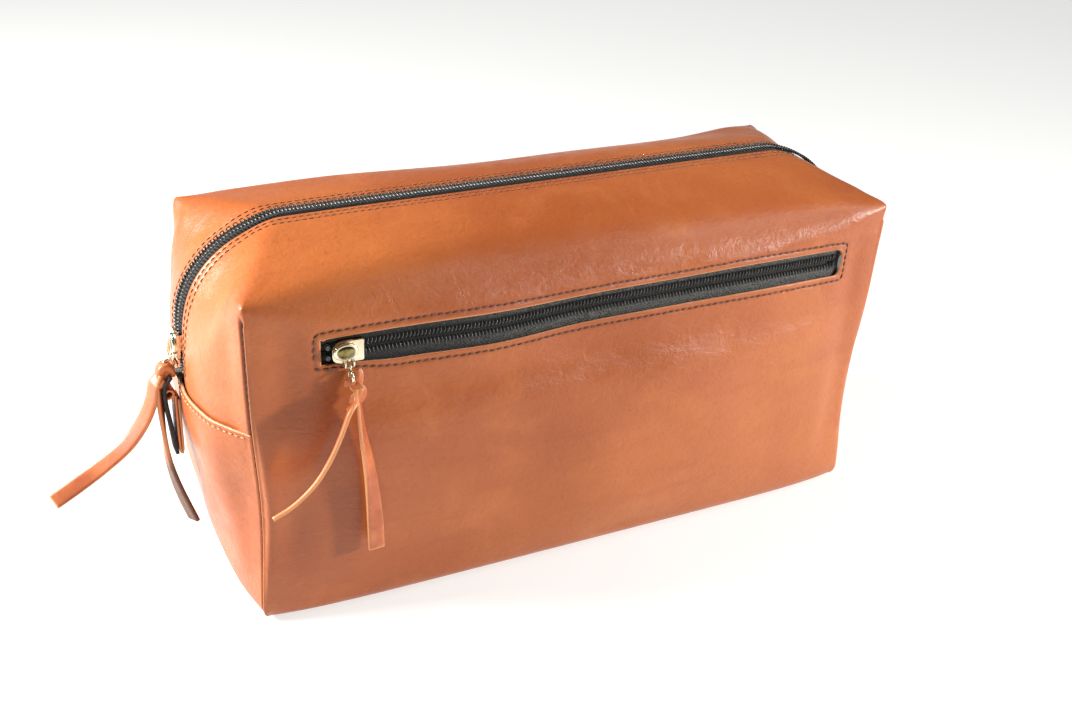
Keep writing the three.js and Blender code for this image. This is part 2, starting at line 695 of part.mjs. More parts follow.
// Rings and laces hang from the crowns' bars
const LEFT = new THREE.Vector3(-1, 0, 0);
const FRONT = new THREE.Vector3(0, -1, 0);
const mainPin = mainZip.position.clone().add(new THREE.Vector3(-PIN_HEIGHT, 0, -PIN_SHIFT));
const pocketPin = pocketZip.position.clone().add(new THREE.Vector3(0, -PIN_HEIGHT, -PIN_SHIFT));
const mainFoot = mainPin.clone().add(ringFoot(LEFT, MAIN_RING_LEAN));
const pocketFoot = pocketPin.clone().add(ringFoot(FRONT, POCKET_RING_LEAN));

const yAxis = new THREE.Vector3(0, 1, 0);
const xAxis = new THREE.Vector3(1, 0, 0);
add('main_pull_ring', hangRing(yAxis, LEFT, MAIN_RING_LEAN), paleMetal()).position.copy(mainPin);
add('pocket_pull_ring', hangRing(xAxis, FRONT, POCKET_RING_LEAN), paleMetal()).position.copy(pocketPin);

add('main_lace_knot', laceKnot(4.3, 5.6, 3.1, -1.6), lace()).position.copy(mainFoot);
const pocketKnot = add('pocket_lace_knot', laceKnot(6.4, 6.4, 5.6, -2.2), lace());
pocketKnot.rotation.z = Math.PI / 2;
pocketKnot.position.copy(pocketFoot);

const MAIN_LONG = [
  [-164.3, -1, 86], [-166, -1, 79], [-170, -1, 70.5], [-177, -1, 61.5], [-187, -1, 54],
  [-197, -1, 47.8], [-207, -1, 42],
];
const MAIN_SHORT = [
  [-162.1, -1, 86], [-162.4, -1, 76], [-162.2, -1, 64], [-161.6, -1, 52], [-159.8, -1, 41],
  [-157, -1, 30], [-153.8, -1, 19.5],
];
const POCKET_LEFT = [
  [-107.2, -68.4, 99.2], [-110.6, -68.4, 90], [-115, -68.4, 80.5], [-121, -68.4, 71.5],
  [-129, -68.4, 64.5], [-137, -68.4, 60.5],
];
const POCKET_RIGHT = [
  [-102.4, -65, 99.4], [-101.2, -65, 88], [-98.6, -65, 70.5], [-97, -65, 52], [-96.3, -65, 33.5],
];
add('main_lace_tail_long', laceTail(MAIN_LONG, true), lace());
add('main_lace_tail_short', laceTail(MAIN_SHORT, true), lace());
add('pocket_lace_tail_left', laceTail(POCKET_LEFT, true), lace());
add('pocket_lace_tail_right', laceTail(POCKET_RIGHT, false), lace());

export default bag;
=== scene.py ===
# Looks of a leather shaving kit bag, in metres, +Z up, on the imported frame.
# The long front panel faces -Y. The shape is worked out in millimetres, and MM turns
# them into metres.

import json
import math
import random

import bpy
import numpy as np
from mathutils import Matrix, Vector


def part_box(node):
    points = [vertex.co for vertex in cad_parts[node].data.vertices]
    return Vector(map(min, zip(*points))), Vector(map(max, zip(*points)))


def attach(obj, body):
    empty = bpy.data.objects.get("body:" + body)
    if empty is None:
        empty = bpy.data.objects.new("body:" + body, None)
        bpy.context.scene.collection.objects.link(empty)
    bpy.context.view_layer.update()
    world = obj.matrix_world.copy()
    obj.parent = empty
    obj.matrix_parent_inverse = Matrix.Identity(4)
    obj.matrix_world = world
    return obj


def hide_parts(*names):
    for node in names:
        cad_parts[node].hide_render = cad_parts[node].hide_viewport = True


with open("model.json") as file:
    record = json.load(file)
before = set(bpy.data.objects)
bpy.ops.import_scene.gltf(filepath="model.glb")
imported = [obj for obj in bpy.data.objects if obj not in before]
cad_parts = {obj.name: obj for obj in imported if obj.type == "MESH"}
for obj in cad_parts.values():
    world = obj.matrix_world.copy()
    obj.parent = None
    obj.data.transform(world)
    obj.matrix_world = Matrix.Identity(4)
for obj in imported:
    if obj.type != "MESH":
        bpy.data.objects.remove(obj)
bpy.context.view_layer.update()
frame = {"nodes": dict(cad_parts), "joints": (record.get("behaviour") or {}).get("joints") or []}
MM = 0.001
rng = random.Random(7)

# ---------------------------------------------------------------- dimensions

# The box between the vertical corner seams, and how far its walls swell
HALF_LENGTH = 140.0
HALF_DEPTH = 53.4
HEIGHT = 141.0
END_SWELL_HIGH = 13.2
END_SWELL_LOW = 2.0
TOP_CROWN = 11.0
FOLD_POWER = 2.35
LEATHER = 1.4

# Main zip
ZIP_GAP = 4.3
ZIP_END_Z = 90.0
FLAP_TOP = 87.0
FLAP_LIFT = 1.8

# Pocket window in the front panel
WINDOW_LEFT = -112.0
WINDOW_RIGHT = 118.5
WINDOW_BOTTOM = 111.0
WINDOW_TOP = 122.7
POCKET_ZIP = 117.2

# ---------------------------------------------------------------- camera


def aim(camera, azimuth, elevation, roll):
    """Turns the camera to look along azimuth and down by elevation."""
    a, e, c = (math.radians(v) for v in (azimuth, elevation, roll))
    forward = Vector((-math.sin(a) * math.cos(e), math.cos(a) * math.cos(e), -math.sin(e)))
    right = forward.cross(Vector((0, 0, 1))).normalized()
    up = right.cross(forward)
    right, up = right * math.cos(c) + up * math.sin(c), up * math.cos(c) - right * math.sin(c)
    camera.matrix_world = Matrix((right, up, -forward)).transposed().to_4x4()


camera_data = bpy.data.cameras.new("camera")
camera_data.lens = 44.59
camera_data.sensor_width = 36
camera_data.clip_start = 0.01
camera = bpy.data.objects.new("camera", camera_data)
bpy.context.collection.objects.link(camera)
aim(camera, -27.112, 29.27, 3.115)
camera.location = (-0.2337, -0.46126, 0.35592)
bpy.context.scene.camera = camera
bpy.context.view_layer.update()

# ---------------------------------------------------------------- materials


class Nodes:
    """Builds one node material; each call adds a node and returns its outputs."""

    def __init__(self, name):
        self.material = bpy.data.materials.new(name)
        self.material.use_nodes = True
        self.tree = self.material.node_tree
        self.tree.nodes.clear()
        self.shader = self.tree.nodes.new("ShaderNodeBsdfPrincipled")
        output = self.tree.nodes.new("ShaderNodeOutputMaterial")
        self.tree.links.new(self.shader.outputs[0], output.inputs[0])
        self.position = self.tree.nodes.new("ShaderNodeNewGeometry").outputs["Position"]

    def feed(self, socket, value):
        if isinstance(value, bpy.types.NodeSocket):
            self.tree.links.new(value, socket)
        else:
            socket.default_value = value

    def node(self, kind, inputs=(), **settings):
        made = self.tree.nodes.new(kind)
        for key, value in settings.items():
            setattr(made, key, value)
        for key, value in dict(inputs).items():
            self.feed(made.inputs[key], value)
        return made

    def noise(self, scale, detail=2.0, rough=0.5, where=None, distortion=0.0):
        return self.node("ShaderNodeTexNoise", {
            "Vector": where or self.position, "Scale": scale, "Detail": detail,
            "Roughness": rough, "Distortion": distortion,
        }).outputs["Fac"]

    def cells(self, scale, feature="DISTANCE_TO_EDGE"):
        return self.node("ShaderNodeTexVoronoi", {
            "Vector": self.position, "Scale": scale, "Randomness": 1.0,
        }, feature=feature).outputs["Distance"]

    def math(self, operation, a, b):
        return self.node("ShaderNodeMath", {0: a, 1: b}, operation=operation).outputs[0]

    def ramp(self, value, low, high, to_low=0.0, to_high=1.0):
        return self.node("ShaderNodeMapRange", {
            "Value": value, "From Min": low, "From Max": high,
            "To Min": to_low, "To Max": to_high,
        }, interpolation_type="SMOOTHSTEP").outputs["Result"]

    def mix(self, factor, a, b):
        made = self.tree.nodes.new("ShaderNodeMix")
        made.data_type = "RGBA"
        self.feed(made.inputs["Factor"], factor)
        for socket, value in ((made.inputs[6], a), (made.inputs[7], b)):
            self.feed(socket, value)
        return made.outputs[2]

    def bump(self, height, strength, distance, normal=None):
        inputs = {"Height": height, "Strength": strength, "Distance": distance}
        if normal is not None:
            inputs["Normal"] = normal
        return self.node("ShaderNodeBump", inputs).outputs["Normal"]

    def attribute(self, name):
        return self.node("ShaderNodeAttribute", attribute_name=name).outputs["Fac"]

    def stretched(self, sx, sy, sz):
        return self.node("ShaderNodeMapping", {
            "Vector": self.position, "Scale": (sx, sy, sz),
        }).outputs["Vector"]

    def finish(self, colour, roughness, normal=None, **constants):
        self.feed(self.shader.inputs["Base Color"], colour)
        self.feed(self.shader.inputs["Roughness"], roughness)
        if normal is not None:
            self.feed(self.shader.inputs["Normal"], normal)
        for key, value in constants.items():
            self.shader.inputs[key.replace("_", " ")].default_value = value
        return self.material


def rgb(red, green, blue):
    """A display colour, 0 to 255, as a linear one."""
    def linear(v):
        v /= 255
        return v / 12.92 if v <= 0.04045 else ((v + 0.055) / 1.055) ** 2.4
    return (linear(red), linear(green), linear(blue), 1.0)


def leather_material():
    n = Nodes("cognac_leather")
    cloud = n.noise(9, 3, 0.55)
    patch = n.noise(34, 4, 0.6, distortion=0.6)
    fine = n.noise(520, 3, 0.7)
    streak = n.noise(60, 4, 0.6, where=n.stretched(0.35, 1, 2.2))
    colour = n.mix(n.ramp(cloud, 0.32, 0.7), rgb(156, 79, 37), rgb(176, 97, 48))
    colour = n.mix(n.ramp(patch, 0.45, 0.8, 0.0, 0.3), colour, rgb(196, 118, 64))
    colour = n.mix(n.ramp(streak, 0.5, 0.85, 0.0, 0.35), colour, rgb(144, 68, 30))
    colour = n.mix(n.ramp(fine, 0.5, 0.8, 0.0, 0.3), colour, rgb(126, 56, 26))
    # Painted shade: darker in the stitch valleys, in the corner seam grooves and towards the foot
    colour = n.mix(n.ramp(n.attribute("seam"), 0.0, 1.0, 0.0, 0.8), colour, rgb(66, 28, 14))
    # Lighter towards the raw cut edges, the leather's own edge colour; along the panels' turned edges
    # at the corner seams partly wear and partly a painted highlight
    colour = n.mix(n.ramp(n.attribute("rim"), 0.2, 1.0, 0.0, 0.85), colour, rgb(216, 148, 96))
    pores = n.cells(1700)
    pebble = n.cells(700, feature="SMOOTH_F1")
    creases = n.noise(120, 6, 0.66, where=n.stretched(0.8, 1, 1.3), distortion=1.4)
    height = n.math("ADD", n.math("MULTIPLY", pebble, 0.9), n.math("MULTIPLY", pores, 0.5))
    normal = n.bump(creases, 0.3, 0.0014)
    normal = n.bump(height, 0.2, 0.0004, normal)
    rough = n.ramp(n.noise(90, 5, 0.7), 0.3, 0.75, 0.3, 0.46)
    return n.finish(colour, rough, normal, Coat_Weight=0.1, Coat_Roughness=0.22,
                    Specular_IOR_Level=0.36)


def edge_material():
    n = Nodes("raw_leather_edge")
    fibre = n.noise(900, 3, 0.7, where=n.stretched(1, 1, 3))
    colour = n.mix(n.ramp(fibre, 0.3, 0.7), rgb(150, 92, 58), rgb(226, 172, 128))
    return n.finish(colour, 0.75, n.bump(fibre, 0.5, 0.0003))


def lace_material():
    n = Nodes("cut_leather_lace")
    grain = n.noise(300, 4, 0.65)
    spots = n.noise(60, 3, 0.6)
    colour = n.mix(n.ramp(spots, 0.35, 0.7), rgb(168, 84, 44), rgb(196, 110, 62))
    colour = n.mix(n.ramp(grain, 0.45, 0.8, 0.0, 0.5), colour, rgb(140, 68, 40))
    colour = n.mix(n.ramp(n.attribute("rim"), 0.1, 1.0, 0.0, 0.9), colour, rgb(218, 146, 92))
    # Painted shade on the lower half of a shaded free end
    colour = n.mix(n.attribute("seam"), colour, rgb(62, 42, 24))
    normal = n.bump(n.cells(900), 0.2, 0.0003)
    return n.finish(colour, n.ramp(grain, 0.3, 0.8, 0.38, 0.6), normal, Coat_Weight=0.1,
                    Coat_Roughness=0.3)


def tape_material():
    n = Nodes("woven_tape")
    rib = n.node("ShaderNodeTexWave", {
        "Vector": n.position, "Scale": 420.0,
        "Distortion": 0.6, "Detail": 1.0,
    }, bands_direction="DIAGONAL").outputs["Fac"]
    fuzz = n.noise(1300, 3, 0.7)
    speckle = n.ramp(n.noise(1900, 2, 0.6), 0.42, 0.62)
    colour = n.mix(speckle, rgb(24, 24, 23), rgb(92, 91, 86))
    colour = n.mix(n.ramp(fuzz, 0.5, 0.85, 0.0, 0.4), colour, rgb(140, 137, 130))
    # Painted shade: darker over the main zip's tape, beside the chains and towards the pocket slider;
    # the end tabs' tape strips are darkened evenly
    colour = n.mix(n.attribute("seam"), colour, rgb(9, 9, 9))
    return n.finish(colour, 0.85, n.bump(rib, 0.25, 0.0003), Sheen_Weight=0.1)


def coil_material():
    n = Nodes("nylon_coil")
    shade = n.noise(500, 2, 0.5)
    colour = n.mix(shade, rgb(34, 34, 34), rgb(92, 92, 89))
    return n.finish(colour, n.ramp(shade, 0.3, 0.7, 0.16, 0.3), n.bump(shade, 0.1, 0.0002))


def lining_material():
    n = Nodes("cotton_lining")
    warp = n.node("ShaderNodeTexWave", {"Vector": n.position, "Scale": 500.0},
                  bands_direction="X").outputs["Fac"]
    weft = n.node("ShaderNodeTexWave", {"Vector": n.position, "Scale": 500.0},
                  bands_direction="Z").outputs["Fac"]
    weave = n.math("MULTIPLY", warp, weft)
    colour = n.mix(weave, rgb(58, 46, 36), rgb(96, 78, 62))
    return n.finish(colour, 0.9, n.bump(weave, 0.4, 0.0004), Sheen_Weight=0.3)


def metal_material():
    n = Nodes("pale_gold_plate")
    cloud = n.noise(180, 3, 0.6)
    scratch = n.noise(900, 2, 0.6, where=n.stretched(1, 1, 0.08))
    colour = n.mix(n.ramp(cloud, 0.3, 0.7), rgb(214, 201, 170), rgb(236, 226, 202))
    rough = n.ramp(scratch, 0.3, 0.75, 0.12, 0.26)
    return n.finish(colour, rough, n.bump(scratch, 0.06, 0.0002), Metallic=1.0)


def dark_plate_material():
    n = Nodes("dark_polished_plate")
    cloud = n.noise(420, 3, 0.6)
    colour = n.mix(n.ramp(cloud, 0.3, 0.7), rgb(104, 92, 52), rgb(150, 138, 92))
    return n.finish(colour, n.ramp(cloud, 0.3, 0.7, 0.06, 0.14), n.bump(cloud, 0.05, 0.0002),
                    Metallic=1.0)


def thread_material(name, dark, light, fleck):
    n = Nodes(name)
    twist = n.node("ShaderNodeTexWave", {
        "Vector": n.position, "Scale": 900.0, "Distortion": 0.4,
    }, bands_direction="DIAGONAL").outputs["Fac"]
    shade = n.noise(240, 2, 0.6)
    colour = n.mix(n.ramp(shade, 0.3, 0.75), dark, light)
    colour = n.mix(n.math("MULTIPLY", twist, 0.4), colour, fleck)
    return n.finish(colour, 0.6, n.bump(twist, 0.5, 0.0002), Sheen_Weight=0.15)


LOOKS = {
    "leather": leather_material(),
    "edge": edge_material(),
    "lace": lace_material(),
    "tape": tape_material(),
    "coil": coil_material(),
    "lining": lining_material(),
    "metal": metal_material(),
    "thread": thread_material("waxed_thread", rgb(46, 26, 18), rgb(88, 52, 34), rgb(122, 80, 54)),
    "brown_thread": thread_material("brown_thread", rgb(104, 54, 28), rgb(150, 88, 50),
                                    rgb(186, 122, 78)),
    "flap_thread": thread_material("flap_thread", rgb(176, 118, 72), rgb(222, 166, 116),
                                   rgb(240, 196, 150)),
    "dark_plate": dark_plate_material(),
    "pale_thread": thread_material("pale_thread", rgb(196, 160, 118), rgb(232, 204, 166),
                                   rgb(246, 228, 200)),
}

# ---------------------------------------------------------------- skin shape


def smooth(value, low, high):
    t = np.clip((value - low) / (high - low), 0, 1)
    return t * t * (3 - 2 * t)


def lerp(a, b, t):
    return a + (b - a) * t


def side_swell(x, z):
    """How far the front or back wall stands out, in millimetres, at x, z."""
    across = np.minimum(np.abs(x) / HALF_LENGTH, 1)
    up = np.clip(z / HEIGHT, 0, 1)
    cushion = 6.5 * np.sin(np.pi * up ** 0.85) * (1 - across ** 3)
    base = lerp(3.6, 2.6, up) * (1 - across ** 8)
    return np.maximum(cushion * (1 - smooth(up, 0.6, 0.8)), 0) + base


def end_swell(y, z):
    across = np.minimum(np.abs(y) / HALF_DEPTH, 1)
    high = smooth(z, -25, 75)
    power = lerp(2.6, 1.8, smooth(z, 85, 135))
    return lerp(END_SWELL_LOW, END_SWELL_HIGH, high) * (1 - across ** power)


def rounded_edge(a, b, radius, power=2.0):
    """Joins two walls, given as distances outside them, with a round edge; a higher
    power starts the curve more gently."""
    beyond_a = np.maximum(a + radius, 0) ** power
    beyond_b = np.maximum(b + radius, 0) ** power
    outside = (beyond_a + beyond_b) ** (1 / power)
    return np.minimum(-radius, np.maximum(a, b)) + outside


def side_sag(x, y, z):
    """Soft dents and swells of the long walls, where the leather has slackened."""
    inner = (1 - np.minimum(np.abs(x) / 138, 1) ** 6) * smooth(z, 2, 26)
    sag = 0.9 * np.sin(x / 37 + 0.6) * np.sin(z / 26 + 0.4)
    sag += 0.55 * np.sin(x / 19 - z / 31 + 1.9)
    sag += 0.3 * np.sin(x / 9.5 + z / 14 + np.sign(y) * 2)
    below_zip = -1.1 * np.exp(-((z - 96) / 9) ** 2) * (1 - smooth(np.abs(x), 90, 130))
    beside_seam = -1.5 * np.exp(-((np.abs(x) - 127) / 7) ** 2) * smooth(z, 10, 40)
    return (sag + below_zip) * inner * (1 - smooth(z, 120, 140)) + beside_seam * (
        1 - smooth(z, 118, 138))


def end_sag(x, y, z):
    """The ends' dents, and the wander of the corner seams along their height."""
    near_seam = smooth(np.abs(y), 30, 53)
    wander = 4.4 * np.exp(-((z - 52) / 36) ** 2)
    wander -= np.where(x > 0, 0.9, 0.3) * smooth(z, 112, 140)
    dent = 0.7 * np.sin(y / 11 + 0.8) * np.sin(z / 17) + 0.4 * np.sin(y / 6 + z / 9)
    beside = -0.9 * np.exp(-((np.abs(y) - 43) / 5) ** 2) * smooth(z, 10, 40)
    return dent * (1 - near_seam) * smooth(z, 3, 20) + beside - wander * near_seam


def top_sag(x, y):
    """The top's slack between the zip and the folds."""
    beside_zip = -0.4 * np.exp(-((np.abs(y) - 7) / 5) ** 2)
    fold = smooth(np.abs(y), 16, 50)
    dip = -1.3 * np.sin(x / 45 + 1.0) * fold - 0.5 * np.sin(x / 17 + y / 15) * fold
    back = np.where(y > 0, -1.4 * np.exp(-((x - 70) / 45) ** 2), 0) * fold
    return beside_zip + (dip + back) * (1 - smooth(np.abs(x), 118, 138))


def outside_skin(p):
    """Distance outside the bag's outer skin, in millimetres; negative inside."""
    x, y, z = p[:, 0], p[:, 1], p[:, 2]
    side = np.abs(y) - HALF_DEPTH - side_swell(x, z) - side_sag(x, y, z)
    end = np.abs(x) - HALF_LENGTH - end_swell(y, z) - end_sag(x, y, z)
    tent = lerp(2.0, 1.3, smooth(np.abs(x), 70, 135))
    crown = TOP_CROWN * (1 - np.minimum(np.abs(y) / HALF_DEPTH, 1) ** tent)
    top = z - HEIGHT - crown - top_sag(x, y)
    along_x = 1 - np.minimum(np.abs(x) / HALF_LENGTH, 1) ** 2
    along_y = 1 - np.minimum(np.abs(y) / HALF_DEPTH, 1) ** 2
    front_fold = lerp(1.8, 23.0, along_x ** 0.65)
    end_fold = lerp(1.8, 53.0, along_y)
    near_end = smooth(end - side, -25, 25)
    walls = rounded_edge(side, end, 1.3)
    upper = rounded_edge(walls, top, lerp(front_fold, end_fold, near_end), FOLD_POWER)
    return rounded_edge(upper, -z, 7.0)


def anchor_of(p):
    low, high = np.array([-98.0, -20.0, 42.0]), np.array([98.0, 20.0, 99.0])
    return np.clip(p, low, high)


def window_droop(p):
    """How far the pocket's window wanders from a straight line: it dips left of the
    middle, and its lower lip climbs at the slider's end."""
    x, y, z = p[:, 0], p[:, 1], p[:, 2]
    dip = -1.9 * np.exp(-((x + 44) / 29) ** 2) * np.exp(-((z - 116) / 15) ** 2)
    lip = 3.2 * smooth(-x, 82, 110) * (1 - smooth(-x, 118, 136)) * np.exp(
        -((z - 108.5) / 4.6) ** 2)
    return (dip + lip) * smooth(-y, 30, 45)


def on_layer(nominal, depth):
    """Moves points of the nominal box onto the layer at the given depth."""
    anchor = anchor_of(nominal)
    ray = nominal - anchor
    near = np.zeros(len(nominal))
    far = np.full(len(nominal), 2.5)
    for _ in range(34):
        middle = (near + far) / 2
        inside = outside_skin(anchor + ray * middle[:, None]) < -depth
        near = np.where(inside, middle, near)
        far = np.where(inside, far, middle)
    settled = anchor + ray * near[:, None]
    settled[:, 2] += window_droop(settled)
    return settled


def skin_normal(p):
    step = 0.4
    grads = []
    for axis in range(3):
        shift = np.zeros(3)
        shift[axis] = step
        grads.append(outside_skin(p + shift) - outside_skin(p - shift))
    n = np.stack(grads, 1)
    return n / np.linalg.norm(n, axis=1, keepdims=True)


def straight_back(nominal, depth):
    """The point at the given depth straight behind the front's skin."""
    p = on_layer(nominal, np.zeros(len(nominal)))
    p[:, 1] += depth
    return p


# ---------------------------------------------------------------- meshes


def make_mesh(name, verts, faces, materials, slots=None, attributes=None):
    """A piece from millimetre points; slots gives each face's material."""
    mesh = bpy.data.meshes.new(name)
    mesh.from_pydata((np.asarray(verts) * MM).tolist(), [], [list(f) for f in faces])
    for material in materials:
        mesh.materials.append(LOOKS[material])
    mesh.polygons.foreach_set("use_smooth", np.ones(len(faces), dtype=bool))
    if slots is not None:
        mesh.polygons.foreach_set("material_index", np.asarray(slots, dtype=np.int32))
    for key, values in (attributes or {}).items():
        layer = mesh.attributes.new(key, "FLOAT", "POINT")
        layer.data.foreach_set("value", np.asarray(values, dtype=np.float32))
    mesh.update()
    piece = bpy.data.objects.new(name, mesh)
    bpy.context.collection.objects.link(piece)
    return piece


def settle_piece(piece, body, slot, *nodes):
    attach(piece, body)
    if nodes:
        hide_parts(*nodes)
    return piece


def grid(us, vs, place, skip=None):
    """One patch of the nominal box: its points and quads."""
    us, vs = np.asarray(us, float), np.asarray(vs, float)
    u, v = np.meshgrid(us, vs, indexing="ij")
    points = np.stack(place(u.ravel(), v.ravel()), 1)
    i, j = np.meshgrid(np.arange(len(us) - 1), np.arange(len(vs) - 1), indexing="ij")
    i, j = i.ravel(), j.ravel()
    if skip is not None:
        keep = ~skip((us[i] + us[i + 1]) / 2, (vs[j] + vs[j + 1]) / 2)
        i, j = i[keep], j[keep]
    a = i * len(vs) + j
    quads = np.stack([a, a + len(vs), a + len(vs) + 1, a + 1], 1)
    return points, quads


def full(value, like):
    return np.full_like(like, value)


def side_patch(sign, xs, zs, skip=None):
    return grid(xs, zs, lambda x, z: (x, full(sign * HALF_DEPTH, x), z), skip)


def top_patch(xs, ys):
    return grid(xs, ys, lambda x, y: (x, y, full(HEIGHT, x)))


def base_patch(xs, ys):
    return grid(xs, ys, lambda x, y: (x, y, full(0.0, x)))


def end_patch(sign, ys, zs):
    return grid(ys, zs, lambda y, z: (full(sign * HALF_LENGTH, y), y, z))


def merge(patches):
    """Joins patches at their shared nominal points, with their quads facing out."""
    points, quads, offset = [], [], 0
    for p, q in patches:
        points.append(p)
        quads.append(q + offset)
        offset += len(p)
    points, quads = np.concatenate(points), np.concatenate(quads)
    _, first, index = np.unique(np.round(points, 3), axis=0, return_index=True,
                                return_inverse=True)
    points, quads = points[first], index.ravel()[quads]
    used, back = np.unique(quads, return_inverse=True)
    points, quads = points[used], back.reshape(quads.shape)
    a, b, d = (points[quads[:, k]] for k in (0, 1, 3))
    facing = np.einsum("ij,ij->i", np.cross(b - a, d - a), a - anchor_of(a))
    quads[facing < 0] = quads[facing < 0][:, ::-1]
    return points, quads


def rim_edges(quads):
    edges = {}
    for quad in quads.tolist():
        for start, end in zip(quad, quad[1:] + quad[:1]):
            if (end, start) in edges:
                del edges[(end, start)]
            else:
                edges[(start, end)] = True
    return list(edges)


def shell(name, patches, outer, inner, materials, settle=on_layer, roll=0.3,
          shade=None, warp=None):
    """A closed sheet between two depths. Its rim is rounded by roll, and shows
    the last of the materials."""
    nominal, quads = merge(patches)
    if warp:
        nominal = warp(nominal)
    rims = rim_edges(quads)
    on_rim = np.zeros(len(nominal))
    on_rim[[v for edge in rims for v in edge]] = 1
    depth_out, depth_in = outer(nominal), inner(nominal)
    top = settle(nominal, depth_out + roll * on_rim)
    low = settle(nominal, depth_in - roll * 0.6 * on_rim)
    count = len(nominal)
    faces = quads.tolist() + (quads[:, ::-1] + count).tolist()
    slots = [0] * len(faces)
    for start, end in rims:
        faces.append([end, start, start + count, end + count])
        slots.append(len(materials) - 1)
    attributes = {"rim": np.concatenate([on_rim, on_rim])}
    if shade:
        for key, values in shade(nominal).items():
            values = np.concatenate([values, values])
            attributes[key] = np.maximum(values, attributes.get(key, 0))
    return make_mesh(name, np.concatenate([top, low]), faces, materials, slots, attributes)


def mirror(values):
    return -np.asarray(values)[::-1]


# ---------------------------------------------------------------- copies on paths


class Path:
    """A line on the bag: dense points, and the outward normal at each."""

    def __init__(self, points, normals):
        self.points, self.normals = points, normals
        gaps = np.linalg.norm(np.diff(points, axis=0), axis=1)
        self.along = np.concatenate([[0], np.cumsum(gaps)])
        self.length = self.along[-1]

    def at(self, distances):
        """Origins and frames: along, across and outward."""
        def pick(values, s):
            return np.stack([np.interp(s, self.along, values[:, k]) for k in range(3)], 1)
        origin = pick(self.points, distances)
        along = pick(self.points, distances + 0.3) - pick(self.points, distances - 0.3)
        along /= np.linalg.norm(along, axis=1, keepdims=True)
        outward = pick(self.normals, distances)
        outward -= along * np.einsum("ij,ij->i", along, outward)[:, None]
        outward /= np.linalg.norm(outward, axis=1, keepdims=True)
        return origin, along, np.cross(outward, along), outward


def copies(template, origin, along, across, outward):
    """Copies of a template (points, faces) at frames, as one point and face list."""
    points, faces = template
    placed = (origin[:, None, :]
              + points[None, :, 0:1] * along[:, None, :]
              + points[None, :, 1:2] * across[:, None, :]
              + points[None, :, 2:3] * outward[:, None, :])
    count = len(points)
    listed = []
    for k in range(len(origin)):
        listed.extend([[v + k * count for v in face] for face in faces])
    return placed.reshape(-1, 3), listed


def wire(points, radius, sides=10):
    """A round wire round a closed line of points, as points, faces and zeros."""
    p = np.asarray(points, float)
    tangent = np.roll(p, -1, 0) - np.roll(p, 1, 0)
    tangent /= np.linalg.norm(tangent, axis=1, keepdims=True)
    centre = p.mean(0)
    flat = np.linalg.svd(p - centre)[2][2]
    side = np.cross(tangent, flat)
    rows = [p + (side * math.cos(a) + flat * math.sin(a)) * radius
            for a in np.linspace(0, 2 * math.pi, sides, endpoint=False)]
    made = np.stack(rows, 1).reshape(-1, 3)
    faces = []
    count = len(p)
    for i in range(count):
        j = (i + 1) % count
        for k in range(sides):
            m = (k + 1) % sides
            faces.append([i * sides + k, j * sides + k, j * sides + m, i * sides + m])
    return made, faces, np.zeros(len(made))


def bar(length, width, height, arch=0.0, rings=6, sides=8, axis=0):
    """A rounded bar along its x axis (or y), its middle raised by arch."""
    points, faces = [], []
    for i in range(rings + 1):
        t = -1 + 2 * i / rings
        swell = max(1 - abs(t) ** 3.2, 0.0) ** 0.5 if 0 < i < rings else 0.22
        for k in range(sides):
            angle = 2 * math.pi * (k + 0.5) / sides
            points.append((t * length / 2, width / 2 * swell * math.cos(angle),
                           height / 2 * swell * math.sin(angle) + arch * (1 - t * t)))
    for i in range(rings):
        for k in range(sides):
            a, b = i * sides + k, i * sides + (k + 1) % sides
            faces.append([a, a + sides, b + sides, b])
    faces.append(list(range(sides)))
    faces.append(list(range(rings * sides, (rings + 1) * sides))[::-1])
    points = np.array(points)
    if axis == 1:
        points = points[:, [1, 0, 2]] * np.array([-1, 1, 1])
    return points, faces


def sewn(name, path, pitch, start=1.5, end=None, length=2.3, width=0.62, look="thread"):
    """A row of stitches along a path, each arched out of its two holes."""
    span = (end if end is not None else path.length - 1.5) - start
    count = max(1, int(span / pitch))
    at = start + pitch * (np.arange(count) + 0.5)
    origin, along, across, outward = path.at(at)
    turn = np.array([rng.gauss(0, 0.06) for _ in at])[:, None]
    along = along * np.cos(turn) + across * np.sin(turn)
    across = np.cross(outward, along)
    origin = origin + outward * 0.08 + across * np.array(
        [rng.gauss(0, 0.07) for _ in at])[:, None]
    template = bar(length, width, 0.5, arch=0.16)
    points, faces = copies(template, origin, along, across, outward)
    return make_mesh(name, points, faces, [look])


# ---------------------------------------------------------------- laces


def curve_through(points, count):
    """A smooth line through the points, evenly spaced."""
    p = np.asarray(points, float)
    p = np.concatenate([[2 * p[0] - p[1]], p, [2 * p[-1] - p[-2]]])
    dense = []
    for i in range(1, len(p) - 2):
        t = np.linspace(0, 1, 24, endpoint=False)[:, None]
        a, b, c, d = p[i - 1:i + 3]
        dense.append(0.5 * (2 * b + (c - a) * t + (2 * a - 5 * b + 4 * c - d) * t ** 2
                            + (3 * b - a - 3 * c + d) * t ** 3))
    dense = np.concatenate(dense + [p[-2:-1]])
    along = np.concatenate([[0], np.cumsum(np.linalg.norm(np.diff(dense, axis=0), axis=1))])
    at = np.linspace(0, along[-1], count)
    return np.stack([np.interp(at, along, dense[:, k]) for k in range(3)], 1)


def tube_faces(rows, sides):
    """Quads between rows of points, each a ring of sides, and a cap at either end."""
    faces = []
    for i in range(rows - 1):
        for k in range(sides):
            a, b = i * sides + k, i * sides + (k + 1) % sides
            faces.append([a, b, b + sides, a + sides])
    faces.append(list(range(sides))[::-1])
    faces.append(list(range((rows - 1) * sides, rows * sides)))
    return faces


